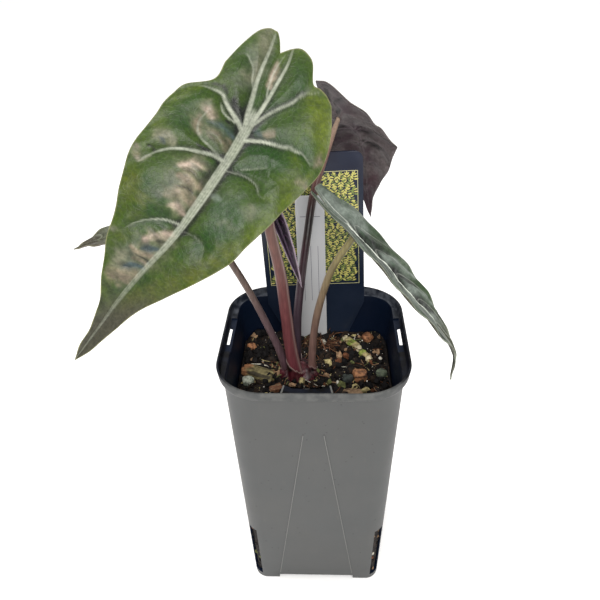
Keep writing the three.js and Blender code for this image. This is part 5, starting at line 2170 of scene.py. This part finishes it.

# Painted shade in the folds that fan out over the lower face of the back leaf, and painted dull light between
# them.
BACK_FOLDS = strokes(
    (Tone.ASH, 2.2, 0.6, -0.3, -0.1, 0.2, -0.4, 0.2, -0.8, 0.12),
    (Tone.ASH, 2.4, 0.55, -0.3, 0.1, 0.42, 0.5, 0.42),
    (Tone.DUSK, 0.8, 0.9, 0.4, -0.04, 0.13, -0.16, 0.145, -0.3, 0.15),
    (Tone.DUSK, 0.7, 0.8, 0.4, -0.2, 0.12, -0.5, 0.1, -0.75, 0.06),
    (Tone.DUSK, 0.8, 0.7, 0.3, -0.1, 0.08, -0.35, 0.05),
    (Tone.DUSK, 0.7, 0.6, 0.3, -0.4, 0.03, -0.65, 0.02),
    (Tone.DUSK, 1.1, 0.95, 0.7, -0.26, 0.33, -0.42, 0.35, -0.55, 0.345),
    (Tone.DUSK, 0.7, 0.75, 0.4, -0.1, 0.4, -0.3, 0.445, -0.48, 0.42),
    (Tone.DUSK, 1.3, 0.85, 0.6, -0.05, 0.48, -0.25, 0.53, -0.5, 0.545),
    (Tone.ASH, 0.7, 0.6, -0.3, -0.1, 0.375, -0.3, 0.395),
    (Tone.ASH, 0.7, 0.6, -0.3, -0.15, 0.465, -0.4, 0.475),
    (Tone.ASH, 2.4, 0.5, -0.3, -0.3, 0.6, -0.55, 0.63),
    (Tone.DUSK, 2, 0.5, 0.4, 0.2, 0.3, 0.45, 0.33),
    (Tone.PLUM, 3.2, 0.8, 0, -0.55, 0.74, -0.2, 0.8, 0.1, 0.8),
)


def blades() -> tuple[Blade, ...]:
    """The five blades.

    Returns:
        The blades.
    """
    even = (0.17, 0.33, 0.5, 0.67, 0.83)
    slim = (1.3, 1.2, 1, 0.85, 0.75, 0.65, 0.55, 0.45, 0.35, 0.25, 0.1)
    lobe = (0.1, 0, 0, 0.02, 0.12)
    front = Blade(
        "front", "leaf_green",
        ((-7.9, 2.8, 262.2), (-21.5, -14, 237), (-34, -28, 220.5), (-49, -39, 202), (-67, -46.5, 182),
         (-89.5, -50, 158)),
        (0.15, -0.86, 0.49),
        (16.3, 17.4, 25.2, 27.6, 28.6, 28.5, 29, 29.5, 29, 27.5, 25.5, 23, 21, 19, 16, 12.5, 8.5,
         5.5, 3.4, 2.4, 0),
        (24.2, 27.8, 30, 30.8, 29.5, 28, 26.5, 25.5, 24, 22.5, 21.5, 19, 16, 13, 10, 7, 5, 4, 3, 2.1, 0),
        (0.038, 0.014, 0.001, 0.002, 0.008, 0.02, 0.042, 0.07, 0.105),
        (0.038, 0.022, 0.013, 0.017, 0.031, 0.069, 0.073, 0.08, 0.095),
        8, 0.002, 0.5, 8, 1.4, FRONT_VEINS, 0.172, (2.2, 2.2, 2, 1.75, 1.6, 1.45, 1.15, 0.95, 0.8, 0.45, 0.1),
        GREEN, underside("leaf_green_under", (84, 70, 72), (112, 98, 96), (140, 120, 116)), FRONT_BANDS,
        spine=(0, 0, 0.2, 0.4, 0.3, 0, -0.6, -1.8, -2.2, -1.2, 0), pucker=0.16, shine=0.9,
        columns=171, rows=257,
    )
    back = Blade(
        "back", "leaf_purple_underside",
        ((-1, 28, 241), (11, 38, 223.5), (19.5, 46.5, 215.5), (23.5, 51, 203), (25.5, 52, 188),
         (27.5, 50, 169.5)),
        (0.3, 0.75, 0.55),
        (13.5, 18, 18, 17, 16, 14.5, 14, 15, 17, 19, 17.5, 16, 14.5, 13, 11.5, 9, 6.5, 4, 2, 1, 0),
        (15, 19, 20, 19, 19, 18, 15, 11.5, 7, 3, 0),
        (0.06, 0, 0, 0.02, 0.1), (0.06, 0, 0, 0.02, 0.1),
        -12, 0.002, 0.7, 6, 1.2, side_veins(even, 0.6, 1), 0.2, slim, BACK_GREEN,
        underside("leaf_back_under", (88, 74, 80), (118, 110, 110), (124, 112, 116), 0.42),
        under_bands=BACK_FOLDS, columns=131, rows=181,
    )
    right = Blade(
        "right", "leaf_silver",
        ((0, -3, 206.5), (7.5, -5.7, 199), (15.5, -7.9, 192.5), (23, -10, 184.5), (31, -12, 176.5),
         (38, -14, 167.5), (46, -16, 159.5), (53.5, -17.8, 150), (60, -19.2, 139), (59.5, -20, 124.5)),
        (0.58, -0.07, 0.75),
        (6, 9.5, 10, 10.5, 12, 10.5, 10.5, 10, 6.5, 2, 0),
        (11, 13, 12.5, 12.5, 12.5, 13.5, 10.5, 6.5, 3, 1.4, 0),
        lobe, lobe,
        10, 0, 0.6, 6, 1.4,
        side_veins((0.2, 0.33, 0.46, 0.6, 0.72), 0.28, 0.8, 0.22, 0.16)
        + tuple(Vein(((0.06 * side, 0.17), (0.2 * side, 0.1), (0.3 * side, 0.03)), 0.35, 0.2, 0.6, 0.5)
                for side in (-1, 1)),
        0.2,
        (0.6, 0.55, 0.5, 0.45, 0.42, 0.4, 0.38, 0.36, 0.3, 0.2, 0.1), SILVER,
        underside("leaf_silver_under", (90, 94, 84), (112, 114, 102), (134, 134, 120)), RIGHT_BANDS,
        shine=1.5, columns=141, rows=241,
    )
    left = Blade(
        "left", "leaf_grey_green",
        ((-37, -16, 207), (-47, -16, 203.5), (-58.5, -17, 200), (-70.5, -18, 196.5), (-82, -19, 194),
         (-93, -20, 189.5)),
        (-0.1, -0.2, 0.95),
        (10, 13.5, 14.5, 13.5, 11.5, 9.5, 7.5, 5.5, 3.5, 1.5, 0),
        (10, 13.5, 14.5, 14.5, 13.5, 12, 10, 8, 5.5, 2, 0),
        lobe, lobe,
        12, 0, 0.5, 5, 0.9, side_veins((0.2, 0.4, 0.6, 0.8), 0.45, 1.1), 0.18, slim, GREY_GREEN,
        underside("leaf_grey_under", (88, 76, 76), (116, 104, 100), (136, 120, 112)), columns=111, rows=151,
    )
    young = Blade(
        "young", "leaf_young",
        ((-19, -4.2, 207.5), (-16.2, -4.8, 199.5), (-13.3, -5, 191.5), (-10.6, -4.8, 182.5),
         (-7.8, -4.5, 172.5), (-4.8, -4, 162)),
        (0.45, -0.85, 0.25),
        (2.2, 3.2, 3.6, 3.6, 3.4, 3.1, 2.8, 2.3, 1.7, 1, 0), (2.2, 3.2, 3.6, 3.6, 3.4, 3.1, 2.8, 2.3, 1.7, 1, 0),
        (0.05, 0, 0, 0.03, 0.08), (0.05, 0, 0, 0.03, 0.08),
        38, 0, 0.1, 4, 0.2, side_veins(even, 0.25, 0.4), 0.1, (0.6, 0.5, 0.4, 0.3, 0.1), YOUNG,
        underside("leaf_young_under", (42, 26, 46), (62, 42, 62), (138, 116, 134), 0.35),
        edge=0.9, keel=0.6, columns=61, rows=141,
    )
    return front, back, right, left, young


def stems() -> tuple[Stem, ...]:
    """The four leaf stems, in the order of the crown's sheaths, and the young leaf's own.

    Returns:
        The stems.
    """
    return (
        Stem("front", "stem_pink",
             ((-7, -4.4, 108), (-10.5, -4.4, 129), (-12.1, -5.6, 151), (-13.5, -8.5, 172), (-16.5, -11.5, 193.5),
              (-18.8, -12, 215), (-20.7, -10.8, 237.6)),
             (3.5, 2.9, 2.6, 2.4, 2.2, 2.05, 1.6),
             StemFinish("stem_pink", ((128, 68, 80), (142, 88, 92), (138, 90, 90), (138, 98, 90), (146, 106, 95),
                                      (142, 106, 90)), (184, 160, 154), 2.75, 0.8)),
        Stem("back", "stem_maroon",
             ((-8.9, 3.4, 108), (-8.2, 3.5, 126), (-7.4, 3.9, 144), (-5.3, 6.2, 162), (-2.7, 11.2, 179),
              (0.2, 18.8, 195.5), (5.5, 27.2, 210.5), (11.2, 38.2, 223)),
             (2.3, 2, 1.9, 1.8, 1.75, 1.7, 1.55, 0.9),
             StemFinish("stem_maroon", ((98, 74, 84), (94, 82, 92), (88, 74, 82), (68, 48, 54), (66, 40, 42),
                                        (164, 126, 114), (235, 210, 184)), (130, 118, 126), 0.3, 0.4)),
        Stem("right", "stem_olive",
             ((-1.2, -0.6, 108), (-1, -1.5, 124.5), (0.5, -2.2, 141), (3.6, -3.6, 157), (8.4, -5.7, 173),
              (16.8, -8, 188.8)),
             (2.1, 1.8, 1.7, 1.6, 1.5, 1.4),
             StemFinish("stem_olive", ((148, 108, 102), (158, 126, 118), (146, 121, 110), (150, 131, 108),
                                       (152, 139, 100), (162, 155, 104)), (186, 174, 156), 0.4, 0.4)),
        Stem("left", "stem_mauve",
             ((-12.6, -0.4, 108), (-15.2, -2.2, 124.5), (-19.9, -4.9, 141), (-24.6, -8.4, 157),
              (-30.1, -12, 173), (-37, -14.9, 188.5), (-47.5, -16, 203)),
             (2.2, 1.9, 1.65, 1.5, 1.45, 1.4, 1.3),
             StemFinish("stem_mauve", ((122, 89, 97), (134, 110, 117), (138, 117, 119), (130, 112, 104),
                                       (120, 100, 90), (124, 104, 90)), (190, 168, 158), 0.3, 0.6)),
        Stem("young", "stem_pink",
             ((-11.6, -4.4, 142), (-12, -2.2, 154), (-13.2, -2, 166), (-15, -2.2, 178), (-17, -2.8, 190),
              (-16.8, -4.4, 201)),
             (1.4, 1.2, 1.05, 0.95, 0.85, 0.8),
             StemFinish("stem_young", ((110, 72, 76), (74, 48, 58), (50, 32, 46)), (150, 130, 140), 1.2, 0.6),
             "stem_front"),
    )


def loose_pieces() -> tuple[LoosePiece, ...]:
    """The chips, twigs and pebbles.

    Returns:
        The pieces.
    """
    orange, rust, dark = (0.32, 0.155, 0.075), (0.13, 0.055, 0.028), (0.02, 0.012, 0.009)
    tan, straw, leafy = (0.22, 0.15, 0.09), (0.32, 0.28, 0.14), (0.24, 0.30, 0.07)
    cream = (0.46, 0.42, 0.28)
    return (
        LoosePiece("bark_chip_left", "bark", (-26.8, -0.8), (18.5, 8, 4.5), -24, (0.17, 0.15, 0.07),
                   (0.03, 0.025, 0.012), 0.55, 0.95, orange),
        LoosePiece("bark_chip_left_small", "bark", (-32, 20.4), (5, 4.4, 4), 20, orange, rust, 0.7),
        LoosePiece("pebble_left", "pebble", (-31, -6.6), (6, 5, 3.8), 10, (0.36, 0.40, 0.34), (0.2, 0.24, 0.2)),
        LoosePiece("twig_back", "twig", (18.6, 23.6), (14, 4.4, 3.4), -50, leafy, straw, 0.6, 0.9,
                   chunks=(cream, straw, leafy, straw, cream)),
        LoosePiece("twig_middle", "twig", (25, 13.8), (9, 4, 3.4), -56, straw, (0.2, 0.16, 0.06), 0.6, 0.9,
                   chunks=(leafy, straw, cream)),
        LoosePiece("bark_chip_back", "bark", (26.4, 28.2), (5.6, 5, 4.4), 35, orange, rust),
        LoosePiece("bark_chip_right", "bark", (21.4, -2.6), (6.6, 6.4, 5.2), 12, orange,
                   (0.06, 0.03, 0.02), 0.45),
        LoosePiece("bark_chip_front", "bark", (17.6, -13.8), (10, 5, 3.4), -8, tan, dark, 0.5, 0.7),
        LoosePiece("pebble_right", "pebble", (31.6, -0.4), (5.2, 5, 4), 40, (0.09, 0.115, 0.08),
                   (0.04, 0.05, 0.04)),
        LoosePiece("pebble_middle", "pebble", (15.6, -4.8), (5.6, 4.6, 3.6), 0, (0.035, 0.045, 0.042),
                   (0.02, 0.022, 0.022)),
        LoosePiece("bark_chip_front_left", "bark", (-17.6, -12), (6.6, 4, 3), 25, tan, rust, 0.5, 0.6),
    )


# Studio


@dataclass(frozen=True)
class Studio:
    """Camera, floor and soft light."""

    eye: Point = (5.88, -238.04, 305.21)
    pitch_deg: float = -32.527
    yaw_deg: float = 2.865
    roll_deg: float = -1.613
    lens: float = 38.4
    sensor: float = 36.0
    floor_half: float = 6.0

    def camera(self, frame: PotFrame) -> None:
        """Camera at the photograph's place.

        Args:
            frame: where the pot stands.
        """
        data = bpy.data.cameras.new("camera")
        data.lens, data.sensor_width = self.lens, self.sensor
        camera = placed("camera", data)
        turn = Matrix.Rotation(math.radians(self.yaw_deg), 4, "Z")
        turn = turn @ Matrix.Rotation(math.pi / 2 + math.radians(self.pitch_deg), 4, "X")
        turn = turn @ Matrix.Rotation(math.radians(self.roll_deg), 4, "Z")
        place = frame.metres(np.array([self.eye]))[0]
        camera.matrix_world = Matrix.Translation(place.tolist()) @ turn
        bpy.context.scene.camera = camera

    def lamp(self, name: str, eye: Point, aim: Point, size: float, watts: float, colour: Colour) -> None:
        """Square soft light.

        Args:
            name: its name.
            eye: its place, in metres.
            aim: the point that it looks at, in metres.
            size: its side, in metres.
            watts: its power.
            colour: its colour.
        """
        data = bpy.data.lights.new(name, "AREA")
        data.size, data.energy, data.color = size, watts, colour
        lamp = placed(name, data)
        turn = (Vector(aim) - Vector(eye)).to_track_quat("-Z", "Y")
        lamp.matrix_world = Matrix.Translation(eye) @ turn.to_matrix().to_4x4()

    def floor(self, frame: PotFrame) -> None:
        """Pale floor, far wider than the view, with a faint mottle.

        Args:
            frame: where the pot stands.
        """
        half, z = self.floor_half, float(frame.origin[2])
        mesh = bpy.data.meshes.new("floor")
        corners = [(-half, -half, z), (half, -half, z), (half, half, z), (-half, half, z)]
        mesh.from_pydata(corners, [], [(0, 1, 2, 3)])
        paint = Paint("floor_paper", 0.9, 0.1)
        mesh.materials.append(paint.finish(paint.mix(paint.mottle(3, 2), (0.955,) * 3, (0.975,) * 3)))
        placed("floor", mesh)

    def build(self, frame: PotFrame) -> None:
        """Sets the world, the lights, the floor and the camera.

        Args:
            frame: where the pot stands.
        """
        scene = bpy.context.scene
        world = bpy.data.worlds.new("studio")
        world.use_nodes = True
        background = world.node_tree.nodes["Background"]
        background.inputs["Color"].default_value = (1.0, 0.99, 0.98, 1.0)
        background.inputs["Strength"].default_value = 1.05
        scene.world = world
        scene.view_settings.view_transform = "Standard"
        self.camera(frame)
        self.floor(frame)
        self.lamp("key", (-0.35, 0.1, 1), (0, 0, 0.18), 0.35, 5, (1, 0.97, 0.95))
        self.lamp("front", (0.1, -0.85, 0.7), (0, 0, 0.14), 0.5, 9, (1, 0.98, 0.96))


def main() -> None:
    """Builds every piece in order."""
    logging.basicConfig(level=logging.INFO, format="%(name)s %(message)s")
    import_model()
    frame, pot, leaf_stems = PotFrame.of("pot"), Pot(), stems()
    parts = (Studio(), pot, PottingMix(pot), Crown(leaf_stems), *leaf_stems, *blades(), *loose_pieces(),
             NameLabel(), PictureTag())
    for part in parts:
        part.build(frame)
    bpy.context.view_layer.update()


if __name__ == "__main__":
    main()
